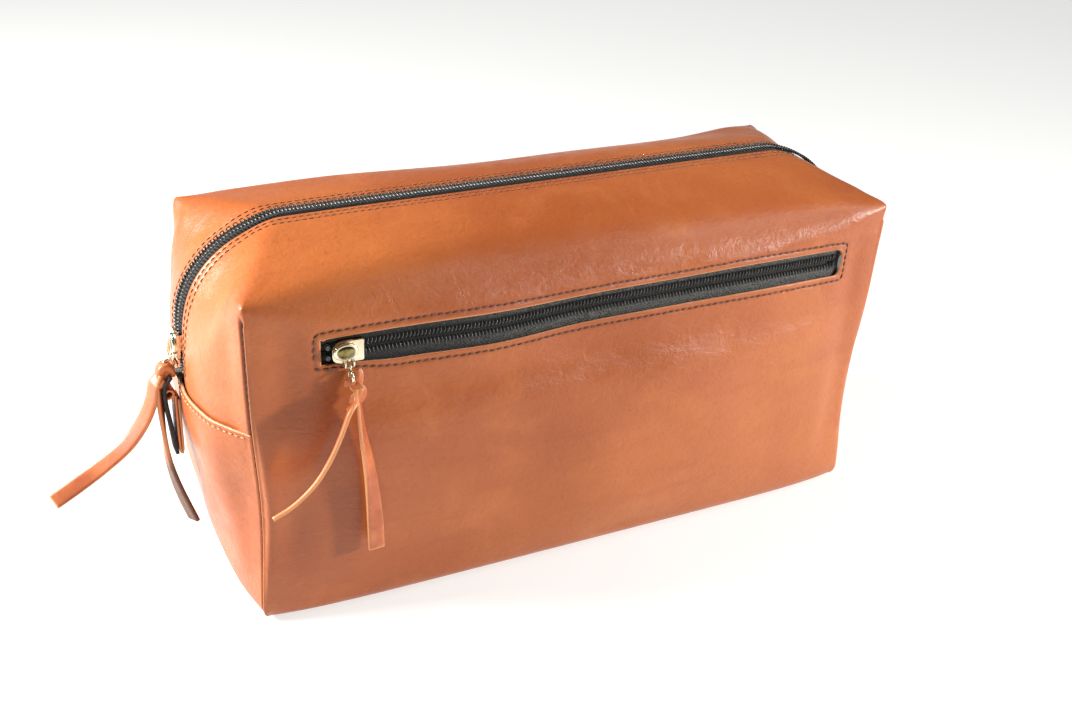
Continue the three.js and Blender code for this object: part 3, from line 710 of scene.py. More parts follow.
def strap_mesh(route, wide, width, thick, widths=None):
    """A flat strap along a route, wide along the given directions, as points, faces
    and how near each point is to the strap's cut sides."""
    route = np.asarray(route, float)
    tangent = np.gradient(route, axis=0)
    tangent /= np.linalg.norm(tangent, axis=1, keepdims=True)
    wide = np.broadcast_to(np.asarray(wide, float), route.shape)
    wide = wide - tangent * np.einsum("ij,ij->i", wide, tangent)[:, None]
    wide /= np.linalg.norm(wide, axis=1, keepdims=True)
    normal = np.cross(tangent, wide)
    w, t = width / 2, thick / 2
    outline = [(w, -0.45 * t), (w, 0.45 * t), (w - 0.25, 0.9 * t), (0.62 * w, t), (0.2 * w, t),
               (-0.2 * w, t), (-0.62 * w, t), (0.25 - w, 0.9 * t), (-w, 0.45 * t),
               (-w, -0.45 * t), (0.25 - w, -0.9 * t), (-0.62 * w, -t), (-0.2 * w, -t),
               (0.2 * w, -t), (0.62 * w, -t), (w - 0.25, -0.9 * t)]
    scale = np.ones(len(route)) if widths is None else np.asarray(widths)
    rows = [route + wide * (a * scale)[:, None] + normal * b for a, b in outline]
    points = np.stack(rows, 1).reshape(-1, 3)
    sides = len(outline)
    faces = tube_faces(len(route), sides)
    rim = np.array([1.0 if abs(a) >= w - 0.01 else 0.35 if abs(a) > w - 0.3 else 0.0
                    for a, _ in outline])
    ends = np.zeros(len(route))
    ends[[0, -1]] = 1
    near = np.maximum(np.tile(rim, len(route)), np.repeat(ends, sides))
    return points, faces, near


def joined(parts):
    """Several (points, faces, near) lists as one."""
    points, faces, near, offset = [], [], [], 0
    for p, f, r in parts:
        points.append(p)
        faces.extend([[v + offset for v in face] for face in f])
        near.append(r)
        offset += len(p)
    return np.concatenate(points), faces, np.concatenate(near)


LACE_WIDTH = 6.4
LACE_THICK = 1.8

# The free ends' routes, from the knots down
LACE_ROUTES = {
    "main_lace_tail_long": [
        (-164.3, -1, 86), (-166, -1, 79), (-170, -1, 70.5), (-177, -1, 61.5), (-187, -1, 54),
        (-197, -1, 47.8), (-207, -1, 42)],
    "main_lace_tail_short": [
        (-162.1, -1, 86), (-162.4, -1, 76), (-162.2, -1, 64), (-161.6, -1, 52), (-159.8, -1, 41),
        (-157, -1, 30), (-153.8, -1, 19.5)],
    "pocket_lace_tail_left": [
        (-107.2, -68.4, 99.2), (-110.6, -68.4, 90), (-115, -68.4, 80.5), (-121, -68.4, 71.5),
        (-129, -68.4, 64.5), (-137, -68.4, 60.5)],
    "pocket_lace_tail_right": [
        (-102.4, -65, 99.4), (-101.2, -65, 88), (-98.6, -65, 70.5), (-97, -65, 52),
        (-96.3, -65, 33.5)],
}


# The stretch of each free end that lies inside its knot
LACE_HEADS = {
    "main_lace_tail_long": [(-161.4, -0.9, 89.6), (-162.9, -1, 87.8)],
    "main_lace_tail_short": [(-160.6, -0.6, 90.2), (-161.6, -0.9, 88)],
    "pocket_lace_tail_left": [(-102.4, -62.3, 103.6), (-104.4, -65.6, 101.6)],
    "pocket_lace_tail_right": [(-102.2, -62.4, 103.8), (-102.5, -64.4, 101.6)],
}


LACE_STEPS = 70


def lace_tail(node, body, wide_start, wide_end):
    """One free end, a flat cut lace that turns a little along its length."""
    route = curve_through(LACE_HEADS[node] + LACE_ROUTES[node], LACE_STEPS)
    # Painted shade: the lower half of the shaded tails is darkened
    dark = 0.85 * smooth(np.linspace(0, 1, LACE_STEPS), 0.45, 0.62) * (node in SHADED_TAILS)
    t = smooth(np.linspace(0, 1, len(route)), 0, 1)[:, None]
    wide = lerp(np.array(wide_start, float), np.array(wide_end, float), t)
    ripple = 1 + 0.03 * np.sin(np.linspace(0, 9, len(route)))
    points, faces, near = strap_mesh(route, wide, LACE_WIDTH, LACE_THICK, ripple)
    piece = make_mesh(node + "_leather", points, faces, ["lace"],
                      attributes={"rim": near, "seam": np.repeat(dark, len(points) // LACE_STEPS)})
    settle_piece(piece, body, "lace", node)
    return piece, route


def around(centre, axis_a, axis_b, radius, start, end, count):
    """An arc about a centre, in degrees from axis_a towards axis_b."""
    angle = np.radians(np.linspace(start, end, count))[:, None]
    return (np.array(centre, float) + np.array(axis_a, float) * radius * np.cos(angle)
            + np.array(axis_b, float) * radius * np.sin(angle))


X_AXIS, Y_AXIS, Z_AXIS = np.eye(3)


def lace_knot(node, body, foot, strands):
    """The lace's lark's head: its strands, each (points from the foot, the way that it
    is wide, width, thickness)."""
    parts = []
    for points, wide, width, thick in strands:
        route = curve_through(np.array(foot) + np.array(points, float), 48)
        taper = 1 - 0.35 * np.abs(np.linspace(-1, 1, len(route))) ** 6
        parts.append(strap_mesh(route, wide, width, thick, taper))
    points, faces, near = joined(parts)
    piece = make_mesh(node + "_leather", points, faces, ["lace"], attributes={"rim": near})
    return settle_piece(piece, body, "lace", node)


# The main pull's lace: a fat bight through the ring, and the turn below it
MAIN_STRANDS = [
    ([(0.8, 0.4, -2.4), (0.8, 0, 0.0), (-0.3, -0.2, 1.9), (-2.0, -0.4, 2.5), (-3.4, -0.5, 1.0),
      (-3.6, -0.6, -1.6), (-3.0, -0.6, -4.2)], (0, 1, 0.1), 4.7, 3.0),
    ([(-1.0, 0.2, 1.0), (-1.3, -0.3, -1.4), (-1.8, -0.4, -4.6)], (0, 1, 0.1), 4.2, 2.6),
    ([(-0.4, 1.2, -3.0), (-1.6, -0.6, -3.0), (-4.0, -1.4, -3.8), (-5.4, -1.1, -5.2),
      (-5.2, -0.5, -7.2), (-3.6, 0.5, -7.8)], (0.2, 1, 0.5), 4.6, 2.8),
]
# The pocket pull's lace: a nub round the ring, a riser beside it, and two turns below
POCKET_STRANDS = [
    ([(-1.5, 0.5, -0.9), (-1.9, -0.5, 0.2), (-0.7, -1.2, 0.8), (0.6, -0.9, 0.0),
      (1.3, 0.0, -1.4)], (0.1, 0.2, 1), 2.6, 2.0),
    ([(2.9, 0.6, 4.6), (3.1, -0.1, 3.2), (2.9, -0.7, 1.0), (2.2, -1.0, -1.6),
      (1.4, -1.4, -4.0)], (1, 0.25, 0), 2.8, 1.9),
    ([(-0.2, -0.4, -0.8), (0.7, -1.9, -0.9), (2.4, -2.5, -2.0), (3.0, -2.2, -4.2),
      (1.9, -2.2, -6.2), (0.4, -2.2, -7.6)], (1, 0.1, 0.35), 3.9, 2.1),
    ([(3.4, -1.0, -1.9), (2.5, -3.0, -2.8), (0.6, -3.5, -4.2), (-0.7, -2.7, -5.6),
      (-0.2, -1.2, -6.8)], (0.35, 0, 1), 3.3, 1.9),
]


def hinge(name):
    return next(j for j in frame["joints"] if j["name"] == name)


def pivot(name):
    """A hinge's point, in millimetres."""
    return np.array(hinge(name)["pos_m"], float) / MM


main_knot = lace_knot("main_lace_knot", "main_lace", pivot("main_lace_hinge"), MAIN_STRANDS)
pocket_knot = lace_knot("pocket_lace_knot", "pocket_lace", pivot("pocket_lace_hinge"),
                        POCKET_STRANDS)
# Free ends whose lower half is painted darker, as painted shade
SHADED_TAILS = ("main_lace_tail_short",)
TAILS = [
    ("main_lace_tail_long", "main_lace", main_knot, (-0.3, 0.9, 0.2), (-0.5, 0.62, 0.58)),
    ("main_lace_tail_short", "main_lace", main_knot, (0.4, 0.8, 0), (-0.5, 0.8, 0.2)),
    ("pocket_lace_tail_left", "pocket_lace", pocket_knot, (0.4, 0.9, 0), (0.4, 0.78, -0.49)),
    ("pocket_lace_tail_right", "pocket_lace", pocket_knot, (0.35, 0.93, 0), (1, 0.05, 0)),
]
for node, body, knot, wide_start, wide_end in TAILS:
    tail, route = lace_tail(node, body, wide_start, wide_end)

# ---------------------------------------------------------------- leather

COIL_PITCH = 1.5
ZIP_ROWS = (6.3, 9.1)
SEAM_Y = 52.0
SEAM_DEPTH = 1.5
FLAP_ROW = 1.9
POCKET_ROW = 2.6


def spans(*pieces):
    """Grid lines from (start, end, step) spans that follow on from each other."""
    made = [np.array([pieces[0][0]])]
    for low, high, step in pieces:
        count = max(1, round((high - low) / step))
        made.append(np.linspace(low, high, count + 1)[1:])
    return np.concatenate(made)


OUTER_X = [(122, 136.5, 1.8), (136.5, 140, 0.35)]
XS = spans((-140, -136.5, 0.35), (-136.5, -116, 1.8), (-116, -108.5, 0.6), (-108.5, 115, 2.2),
           (115, 122, 0.6), *OUTER_X)
PLAIN_XS = spans((-140, -136.5, 0.35), (-136.5, 136.5, 2.2), (136.5, 140, 0.35))
ZS = spans((0, 80, 2), (80, 107, 1.8), (107, 111, 0.57), (111, 122.7, 1.3), (122.7, 127, 0.54),
           (127, 141, 1.4))
PLAIN_ZS = spans((0, 80, 2), (80, 141, 1.8))
TOP_YS = spans((ZIP_GAP, 4.7, 0.4), (4.7, 11, 0.6), (11, 49.4, 1.9), (49.4, HALF_DEPTH, 0.4))


def pocket_rectangle(x, z, reach, corner):
    """Distance outside a rounded rectangle that stands out from the window."""
    cx, cz = (WINDOW_LEFT + WINDOW_RIGHT) / 2, (WINDOW_BOTTOM + WINDOW_TOP) / 2
    hx = (WINDOW_RIGHT - WINDOW_LEFT) / 2 + reach - corner
    hz = (WINDOW_TOP - WINDOW_BOTTOM) / 2 + reach - corner
    dx, dz = np.abs(x - cx) - hx, np.abs(z - cz) - hz
    outside = np.hypot(np.maximum(dx, 0), np.maximum(dz, 0))
    return outside + np.minimum(np.maximum(dx, dz), 0) - corner


def close_to(distance, width):
    """1 at no distance, fading to nothing over a few widths."""
    return np.exp(-(distance / width) ** 2)


def pull_in(nominal):
    """How strongly the stitching draws the leather in at points of the box."""
    x, y, z = nominal.T
    on_side = np.abs(y) > HALF_DEPTH - 0.01
    rows = sum(close_to(np.abs(y) - row, 0.6) for row in ZIP_ROWS) * ~on_side * (z > 81)
    pocket = close_to(pocket_rectangle(x, z, POCKET_ROW, 2.5), 0.8) * on_side * (y < 0)
    on_end = ~on_side & (np.abs(x) > HALF_LENGTH - 0.01)
    seam = close_to(np.abs(y) - SEAM_Y, 1.0) * on_end * (1 - smooth(z, 134, 137))
    return rows, pocket, seam


def pressed(nominal):
    rows, pocket, seam = pull_in(nominal)
    x, y, z = nominal.T
    on_end = (np.abs(x) > HALF_LENGTH - 0.01) & (np.abs(y) < HALF_DEPTH - 0.01)
    tucked = 1.6 * (1 - smooth(np.abs(y), 51.9, 53.2)) * on_end * (z < 80.01)
    beat = 0.75 + 0.25 * np.sin(2 * np.pi * (x + z) / 3.1)
    turned = close_to(np.abs(x) - HALF_LENGTH, 1.3) * (np.abs(y) > HALF_DEPTH - 0.01) * (z < 133)
    return (0.26 * rows + 0.4 * pocket) * beat + np.maximum(SEAM_DEPTH * seam, tucked) - 0.45 * turned


def leather_shade(nominal):
    rows, pocket, seam = pull_in(nominal)
    x, y, z = nominal.T
    foot = close_to(np.minimum(z, 40), 5.0)
    # Lighter along the turned edges at the corner seams: partly wear, partly a painted highlight on
    # the proud edge
    wear_and_highlight = close_to(np.abs(x) - HALF_LENGTH, 0.9) * (np.abs(y) > HALF_DEPTH - 0.01) * (z < 136)
    # These darkening values are painted shade: in the zip and pocket stitch valleys, in the corner
    # seam grooves and towards the foot
    return {"seam": np.clip(0.25 * rows + 0.4 * pocket + 1.0 * seam + 0.15 * foot, 0, 1),
            "rim": 0.55 * wear_and_highlight}


def round_window(nominal):
    """Rounds the corners of the pocket window in the front panel."""
    made = nominal.copy()
    x, z = made[:, 0], made[:, 2]
    corner = 2.4
    for edge_x, sx in ((WINDOW_LEFT, 1), (WINDOW_RIGHT, -1)):
        for edge_z, sz in ((WINDOW_BOTTOM, 1), (WINDOW_TOP, -1)):
            dx, dz = (x - edge_x) * sx, (z - edge_z) * sz
            on_edge = (np.abs(dx) < 0.01) & (dz > -0.01) | (np.abs(dz) < 0.01) & (dx > -0.01)
            close = on_edge & (dx < corner) & (dz < corner) & (np.abs(made[:, 1] + HALF_DEPTH) < 0.01)
            vx, vz = dx - corner, dz - corner
            size = np.hypot(vx, vz)
            scale = np.where(close, corner / np.maximum(size, 1e-6), 1)
            x = np.where(close, edge_x + sx * (corner + vx * scale), x)
            z = np.where(close, edge_z + sz * (corner + vz * scale), z)
    made[:, 0], made[:, 2] = x, z
    return made


def side_panel(name, sign):
    """A side wall with its half of the top, its end wings and its turned-in foot."""
    ys = TOP_YS if sign > 0 else mirror(TOP_YS)
    foot = spans((43.7, HALF_DEPTH, 1.6))
    foot = foot if sign > 0 else mirror(foot)
    xs, zs, hole = PLAIN_XS, PLAIN_ZS, None
    if sign < 0:
        xs, zs = XS, ZS

        def hole(x, z):
            return ((x > WINDOW_LEFT) & (x < WINDOW_RIGHT)
                    & (z > WINDOW_BOTTOM) & (z < WINDOW_TOP))
    patches = [side_patch(sign, xs, zs, hole), top_patch(xs, ys), base_patch(xs, foot)]
    wing_zs = zs[zs >= 79.99]
    low_zs = zs[zs <= 80.01]
    strip = ys[np.abs(ys) >= 49.39]
    for end in (-1, 1):
        patches += [end_patch(end, ys, wing_zs), end_patch(end, strip, low_zs)]
    return shell(name, patches, pressed, lambda p: full(LEATHER, p[:, 0]),
                 ["leather", "edge"], shade=leather_shade,
                 warp=round_window if sign < 0 else None)


settle_piece(side_panel("front_leather", -1), "bag", "leather", "front_panel")
settle_piece(side_panel("back_leather", 1), "bag", "leather", "back_panel")


def base_leather():
    """The base and the two end flaps that turn up from it over the wings."""
    ys = spans((-43, 43, 2.0))
    flap_ys = spans((-51.7, -47, 0.6), (-47, -43, 1.3), (-43, 43, 2.0), (43, 47, 1.3),
                    (47, 51.7, 0.6))
    flap_zs = spans((0, 79, 2.0), (79, 86.4, 0.8), (86.4, FLAP_TOP, 0.6))
    row = FLAP_TOP - FLAP_ROW

    def lifted(p):
        on_end = np.abs(p[:, 0]) > HALF_LENGTH - 0.01
        inner = 1 - smooth(np.abs(p[:, 1]), 40, 51)
        lift = FLAP_LIFT * smooth(p[:, 2], 50, 79) * lerp(0.12, 1.0, inner)
        return 0.25 * close_to(p[:, 2] - row, 0.7) * on_end - lift

    def shade(p):
        # Painted shade: darker in the flap's stitch valley, at its sides in the corner seam grooves
        # and towards the foot
        foot = close_to(np.minimum(p[:, 2], 40), 5.0)
        side = close_to(np.abs(p[:, 1]) - 51.7, 0.9)
        return {"seam": np.clip(0.3 * close_to(p[:, 2] - row, 0.7) + 0.2 * foot + 0.4 * side, 0, 1)}

    patches = [base_patch(PLAIN_XS, ys)]
    patches += [end_patch(end, flap_ys, flap_zs) for end in (-1, 1)]
    return shell("base_leather", patches, lifted, lambda p: lifted(p) + LEATHER,
                 ["leather", "edge"], shade=shade)


settle_piece(base_leather(), "bag", "leather", "base_panel")

# ---------------------------------------------------------------- zips


def over_the_top(y, depth, low=ZIP_END_Z, count=500):
    """A path from low on the left end, over the top, to low on the right end."""
    up = np.linspace(low, HEIGHT, count)
    across = np.linspace(-HALF_LENGTH, HALF_LENGTH, 2 * count)[1:-1]
    nominal = np.concatenate([
        np.stack([full(-HALF_LENGTH, up), full(y, up), up], 1),
        np.stack([across, full(y, across), full(HEIGHT, across)], 1),
        np.stack([full(HALF_LENGTH, up), full(y, up), up[::-1]], 1)])
    points = on_layer(nominal, full(depth, nominal[:, 0]))
    return Path(points, skin_normal(points))


def along_pocket(z, depth, low, high, count=400):
    xs = np.linspace(low, high, count)
    nominal = np.stack([xs, full(-HALF_DEPTH, xs), full(z, xs)], 1)
    points = straight_back(nominal, depth)
    return Path(points, np.tile([0.0, -1.0, 0.0], (count, 1)))


def chain(name, path, side, start, end, reach, node):
    """One half of a coil chain: a row of bars that cross the middle line."""
    at = np.arange(start + (0.1 if side < 0 else 0.6) * COIL_PITCH, end, COIL_PITCH)
    origin, along, across, outward = path.at(at)
    points, faces = bar(reach - 0.5, 0.62, 1.3, arch=0.4, rings=6, sides=8, axis=1)
    points[:, 1] += side * (reach / 2 + 0.28)
    points[:, 0] += 0.25 * np.abs(points[:, 1])
    made, listed = copies((points, faces), origin, along, across, outward)
    piece = make_mesh(name, made, listed, ["coil"])
    return settle_piece(piece, "bag", "coil", node)


def zip_tape(name, side, node):
    ys = spans((0.25, 5.5, 0.7), (5.5, 15, 2.4))
    ys = ys if side > 0 else mirror(ys)
    zs = spans((ZIP_END_Z, HEIGHT, 1.8))
    patches = [top_patch(PLAIN_XS, ys)] + [end_patch(end, ys, zs) for end in (-1, 1)]

    def depth(p):
        return lerp(0.55, 2.1, smooth(np.abs(p[:, 1]), 2.9, 4.5))

    # Painted shade: the tape is darkened all over, most beside the chain
    piece = shell(name, patches, depth, lambda p: depth(p) + 0.6, ["tape"], roll=0.1,
                  shade=lambda p: {"seam": 0.9 - 0.4 * smooth(np.abs(p[:, 1]), 2.6, 3.6)})
    return settle_piece(piece, "bag", "tape", node)


def pocket_tape(name, low, high, node):
    patches = [side_patch(-1, spans((-119, 119, 2.2)), spans((low, high, 0.6)))]

    # Painted shade: the tape is darkened beside the chain and towards the slider
    def shade(p):
        by_chain = 1 - smooth(np.abs(p[:, 2] - POCKET_ZIP), 2.5, 3.3)
        by_slider = 0.75 * (1 - smooth(p[:, 0], -100, 10))
        return {"seam": np.maximum(0.95 * by_chain, by_slider)}

    piece = shell(name, patches, lambda p: full(2.1, p[:, 0]), lambda p: full(2.7, p[:, 0]),
                  ["tape"], settle=straight_back, roll=0.1, shade=shade)
    return settle_piece(piece, "bag", "tape", node)


SIDES = (("front", -1), ("back", 1))
pocket_cloth = shell(
    "pocket_cloth", [side_patch(-1, spans((-119, 119, 3.0)), spans((24, 103, 3.0)))],
    lambda p: full(2.1, p[:, 0]), lambda p: full(2.6, p[:, 0]), ["lining"], roll=0.1)
settle_piece(pocket_cloth, "bag", "lining", "pocket_lining_front")


def wall_lining(place, side):
    """The cloth behind a long wall and its half of the top."""
    ys = spans((15, HALF_DEPTH, 3.2))
    patches = [side_patch(side, spans((-132, 132, 4.4)), spans((4, HEIGHT, 4))),
               top_patch(spans((-132, 132, 4.4)), ys if side > 0 else mirror(ys))]
    cloth = shell(f"{place}_cloth", patches, lambda p: full(3.6, p[:, 0]),
                  lambda p: full(4.1, p[:, 0]), ["lining"], roll=0.1)
    return settle_piece(cloth, "bag", "lining", f"{place}_lining")


main_line = over_the_top(0.0, -0.15)
for place, side in SIDES:
    wall_lining(place, side)
    zip_tape(f"main_tape_{place}", side, f"main_zip_tape_{place}")
    chain(f"main_chain_{place}", main_line, side, 2.4, main_line.length - 2.4, 3.2,
          f"main_zip_coil_{place}")
pocket_line = along_pocket(POCKET_ZIP, 1.05, -108.5, WINDOW_RIGHT - 4.5)
# Along +X with the outward side -Y, across points down, so the upper half is the minus side
for place, side in (("lower", 1), ("upper", -1)):
    chain(f"pocket_chain_{place}", pocket_line, side, 0.5, pocket_line.length, 3.2,
          f"pocket_zip_coil_{place}")
pocket_tape("pocket_tape_lower", 105, POCKET_ZIP - 0.25, "pocket_zip_tape_lower")
pocket_tape("pocket_tape_upper", POCKET_ZIP + 0.25, 128, "pocket_zip_tape_upper")

# ---------------------------------------------------------------- stitches

for place, side in SIDES:
    for row, distance in zip(("inner", "outer"), ZIP_ROWS):
        path = over_the_top(side * distance, 0.15)
        piece = sewn(f"main_stitches_{place}_{row}", path, 2.9, length=2.0, width=0.5,
                     look="brown_thread")
        settle_piece(piece, "bag", "thread", f"main_zip_thread_{place}_{row}")


def pocket_stitch_path(reach, corner):
    """A rounded rectangle of stitches round the pocket window."""
    left, right = WINDOW_LEFT - reach, WINDOW_RIGHT + reach
    low, high = WINDOW_BOTTOM - reach, WINDOW_TOP + reach
    turns = [(left + corner, low + corner, 180), (right - corner, low + corner, 270),
             (right - corner, high - corner, 0), (left + corner, high - corner, 90)]
    xz = []
    for cx, cz, start in turns:
        for degrees in np.linspace(start, start + 90, 8):
            a = math.radians(degrees)
            xz.append((cx + corner * math.cos(a), cz + corner * math.sin(a)))
    xz.append(xz[0])
    xz = np.array(xz)
    along = np.concatenate([[0], np.cumsum(np.linalg.norm(np.diff(xz, axis=0), axis=1))])
    at = np.linspace(0, along[-1], 1200)
    x, z = (np.interp(at, along, xz[:, k]) for k in (0, 1))
    points = on_layer(np.stack([x, full(-HALF_DEPTH, x), z], 1), full(0.2, x))
    return Path(points, skin_normal(points))


pocket_rows = pocket_stitch_path(POCKET_ROW, 2.5)
piece = sewn("pocket_stitches", pocket_rows, 3.0, start=0.2, end=pocket_rows.length)
settle_piece(piece, "bag", "thread", "pocket_zip_thread")

for place, sign in (("left", -1), ("right", 1)):
    ys = np.linspace(-50.5, 50.5, 300) * -sign
    nominal = np.stack([full(sign * HALF_LENGTH, ys), ys, full(FLAP_TOP - FLAP_ROW, ys)], 1)
    lift = FLAP_LIFT * (1 - smooth(np.abs(ys), 40, 51))
    points = on_layer(nominal, 0.1 - lift)
    piece = sewn(f"flap_stitches_{place}", Path(points, skin_normal(points)), 2.8, length=1.9,
                 width=0.5, look="flap_thread")
    settle_piece(piece, "bag", "thread", f"flap_thread_{place}")
    for other, side in SIDES:
        zs = np.linspace(5.4, 135.5, 300)
        nominal = np.stack([full(sign * HALF_LENGTH, zs), full(side * SEAM_Y, zs), zs], 1)
        points = on_layer(nominal, full(SEAM_DEPTH - 0.15, zs))
        piece = sewn(f"seam_stitches_{other}_{place}", Path(points, skin_normal(points)), 3.2,
                     length=2.2)
        settle_piece(piece, "bag", "thread", f"corner_seam_thread_{other}_{place}")

# ---------------------------------------------------------------- metal


def pull_ring(name, pin, along, lean, body, node):
    """The pull: a small eye on the pin and a wire ring below it, leaning out."""
    pin, along = np.array(pin, float), np.array(along, float)
    down = -Z_AXIS * math.cos(math.radians(lean)) + along * math.sin(math.radians(lean))
    across = along - down * np.dot(along, down)
    across /= np.linalg.norm(across)
    eye = around(pin, across, down, 0.99, 0, 345, 24)
    ring = around(pin + down * 3.6, across, down, 2.33, 0, 354, 48)
    points, faces, _ = joined([wire(eye, 0.42), wire(ring, 0.52)])
    return settle_piece(make_mesh(name, points, faces, ["metal"]), body, "metal", node)


pull_ring("main_ring_wire", pivot("main_ring_hinge"), -X_AXIS, 30, "main_ring",
          "main_pull_ring")
pull_ring("pocket_ring_wire", pivot("pocket_ring_hinge"), -Y_AXIS, 22, "pocket_ring",
          "pocket_pull_ring")


def cap(name, origin, axes, middle, half_a, half_b, body, node):
    """An oval crown: a bright flange round a dark polished dome, and the lugs that
    hold the pin. middle moves it along the first two axes."""
    a_axis, b_axis, out = axes
    centre = origin + a_axis * middle[0] + b_axis * middle[1]
    profile = [(0.0, 3.3), (0.2, 3.28), (0.4, 3.2), (0.55, 3.06), (0.64, 2.92), (0.7, 2.8),
               (0.73, 2.74), (0.76, 2.78), (0.81, 2.92), (0.87, 2.94), (0.93, 2.84), (0.98, 2.6),
               (1.0, 2.3), (1.0, 1.8), (0.97, 1.4)]
    dome_rings = 6
    sides = 64
    angle = np.linspace(0, 2 * math.pi, sides, endpoint=False)
    rows = []
    for r, h in profile[1:]:
        rows.append(centre + out * h + np.outer(np.cos(angle), a_axis) * half_a * r
                    + np.outer(np.sin(angle), b_axis) * half_b * r)
    points = np.concatenate([[centre + out * profile[0][1]]] + rows)
    faces = [[0, 1 + k, 1 + (k + 1) % sides] for k in range(sides)]
    for i in range(len(rows) - 1):
        for k in range(sides):
            a, b = 1 + i * sides + k, 1 + i * sides + (k + 1) % sides
            faces.append([a, a + sides, b + sides, b])
    last = 1 + (len(rows) - 1) * sides
    faces.append([last + k for k in range(sides)][::-1])
    slots = [1 if i < sides * dome_rings else 0 for i in range(len(faces))]
    parts = [(points, faces, np.zeros(len(points)))]
    parts += [lug(origin, axes, side) for side in (-1, 1)]
    ends = [origin - a_axis * 5.5 + out * 2.9 + b_axis * b for b in (-1.9, 1.9)]
    parts.append(rod(*ends, 0.48))
    points, faces, _ = joined(parts)
    slots += [0] * (len(faces) - len(slots))
    piece = make_mesh(name, points, faces, ["metal", "dark_plate"], slots)
    return settle_piece(piece, body, "metal", node)


def rod(start, end, radius, sides=12):
    axis = (end - start) / np.linalg.norm(end - start)
    side = np.cross(axis, [0.3, 0.5, 0.8])
    side /= np.linalg.norm(side)
    other = np.cross(axis, side)
    rows = []
    for p, r in ((start, radius * 0.8), (start + axis * 0.12, radius),
                 (end - axis * 0.12, radius), (end, radius * 0.8)):
        rows.append([p + (side * math.cos(t) + other * math.sin(t)) * r
                     for t in np.linspace(0, 2 * math.pi, sides, endpoint=False)])
    points = np.array(rows).reshape(-1, 3)
    return points, tube_faces(4, sides), np.zeros(len(points))


def lug(origin, axes, side):
    """A rounded ear that carries one end of the pin."""
    a_axis, b_axis, out = axes
    outline = [(-5.9, 2.4), (-6.1, 2.9), (-5.9, 3.3), (-5.4, 3.5), (-3.2, 3.1), (-2.4, 2.7),
               (1.4, 2.6), (1.4, 1.45), (-2.4, 1.45), (-4.6, 1.9), (-5.4, 2.1)]
    low, high = (side * 1.6 - 0.35, side * 1.6 + 0.35)
    rows = []
    for b, shrink in ((low, 0.12), (low + 0.12, 0), (high - 0.12, 0), (high, 0.12)):
        centre = np.mean(outline, axis=0)
        for u, v in outline:
            pull = shrink / max(np.hypot(u - centre[0], v - centre[1]), 0.1)
            u, v = u + (centre[0] - u) * pull, v + (centre[1] - v) * pull
            rows.append(origin + a_axis * u + b_axis * b + out * v)
    points = np.array(rows)
    return points, tube_faces(4, len(outline)), np.zeros(len(points))


def box_corner(node, high):
    """The low or high corner of a CAD node's box, in millimetres."""
    return np.array(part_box(node)[1 if high else 0], float) / MM


low, high = box_corner("main_slider_body", False), box_corner("main_slider_body", True)
main_origin = np.array([low[0] + 1.4, 0, (low[2] + high[2]) / 2])
cap("main_slider_cap", main_origin, (Z_AXIS, Y_AXIS, -X_AXIS), (0.6, 0), 4.4, 3.7,
    "main_slider", "main_slider_crown")
low, high = box_corner("pocket_slider_body", False), box_corner("pocket_slider_body", True)
pocket_origin = np.array([(low[0] + high[0]) / 2, low[1] + 1.4, (low[2] + high[2]) / 2])
cap("pocket_slider_cap", pocket_origin, (Z_AXIS, X_AXIS, -Y_AXIS), (0.6, -1.2), 3.4, 4.8,
    "pocket_slider", "pocket_slider_crown")

KEPT_HARDWARE = [n for n in frame["nodes"] if n.endswith("slider_body") or "_stop" in n]
for node in KEPT_HARDWARE:
    kept = frame["nodes"][node]
    kept.data.materials.clear()
    kept.data.materials.append(LOOKS["coil" if "pocket_zip" in node else "metal"])
    soften = kept.modifiers.new("soft_edges", "BEVEL")
    soften.width = 0.22 * MM
    soften.segments = 2
    soften.angle_limit = math.radians(40)

# ---------------------------------------------------------------- tabs and tails


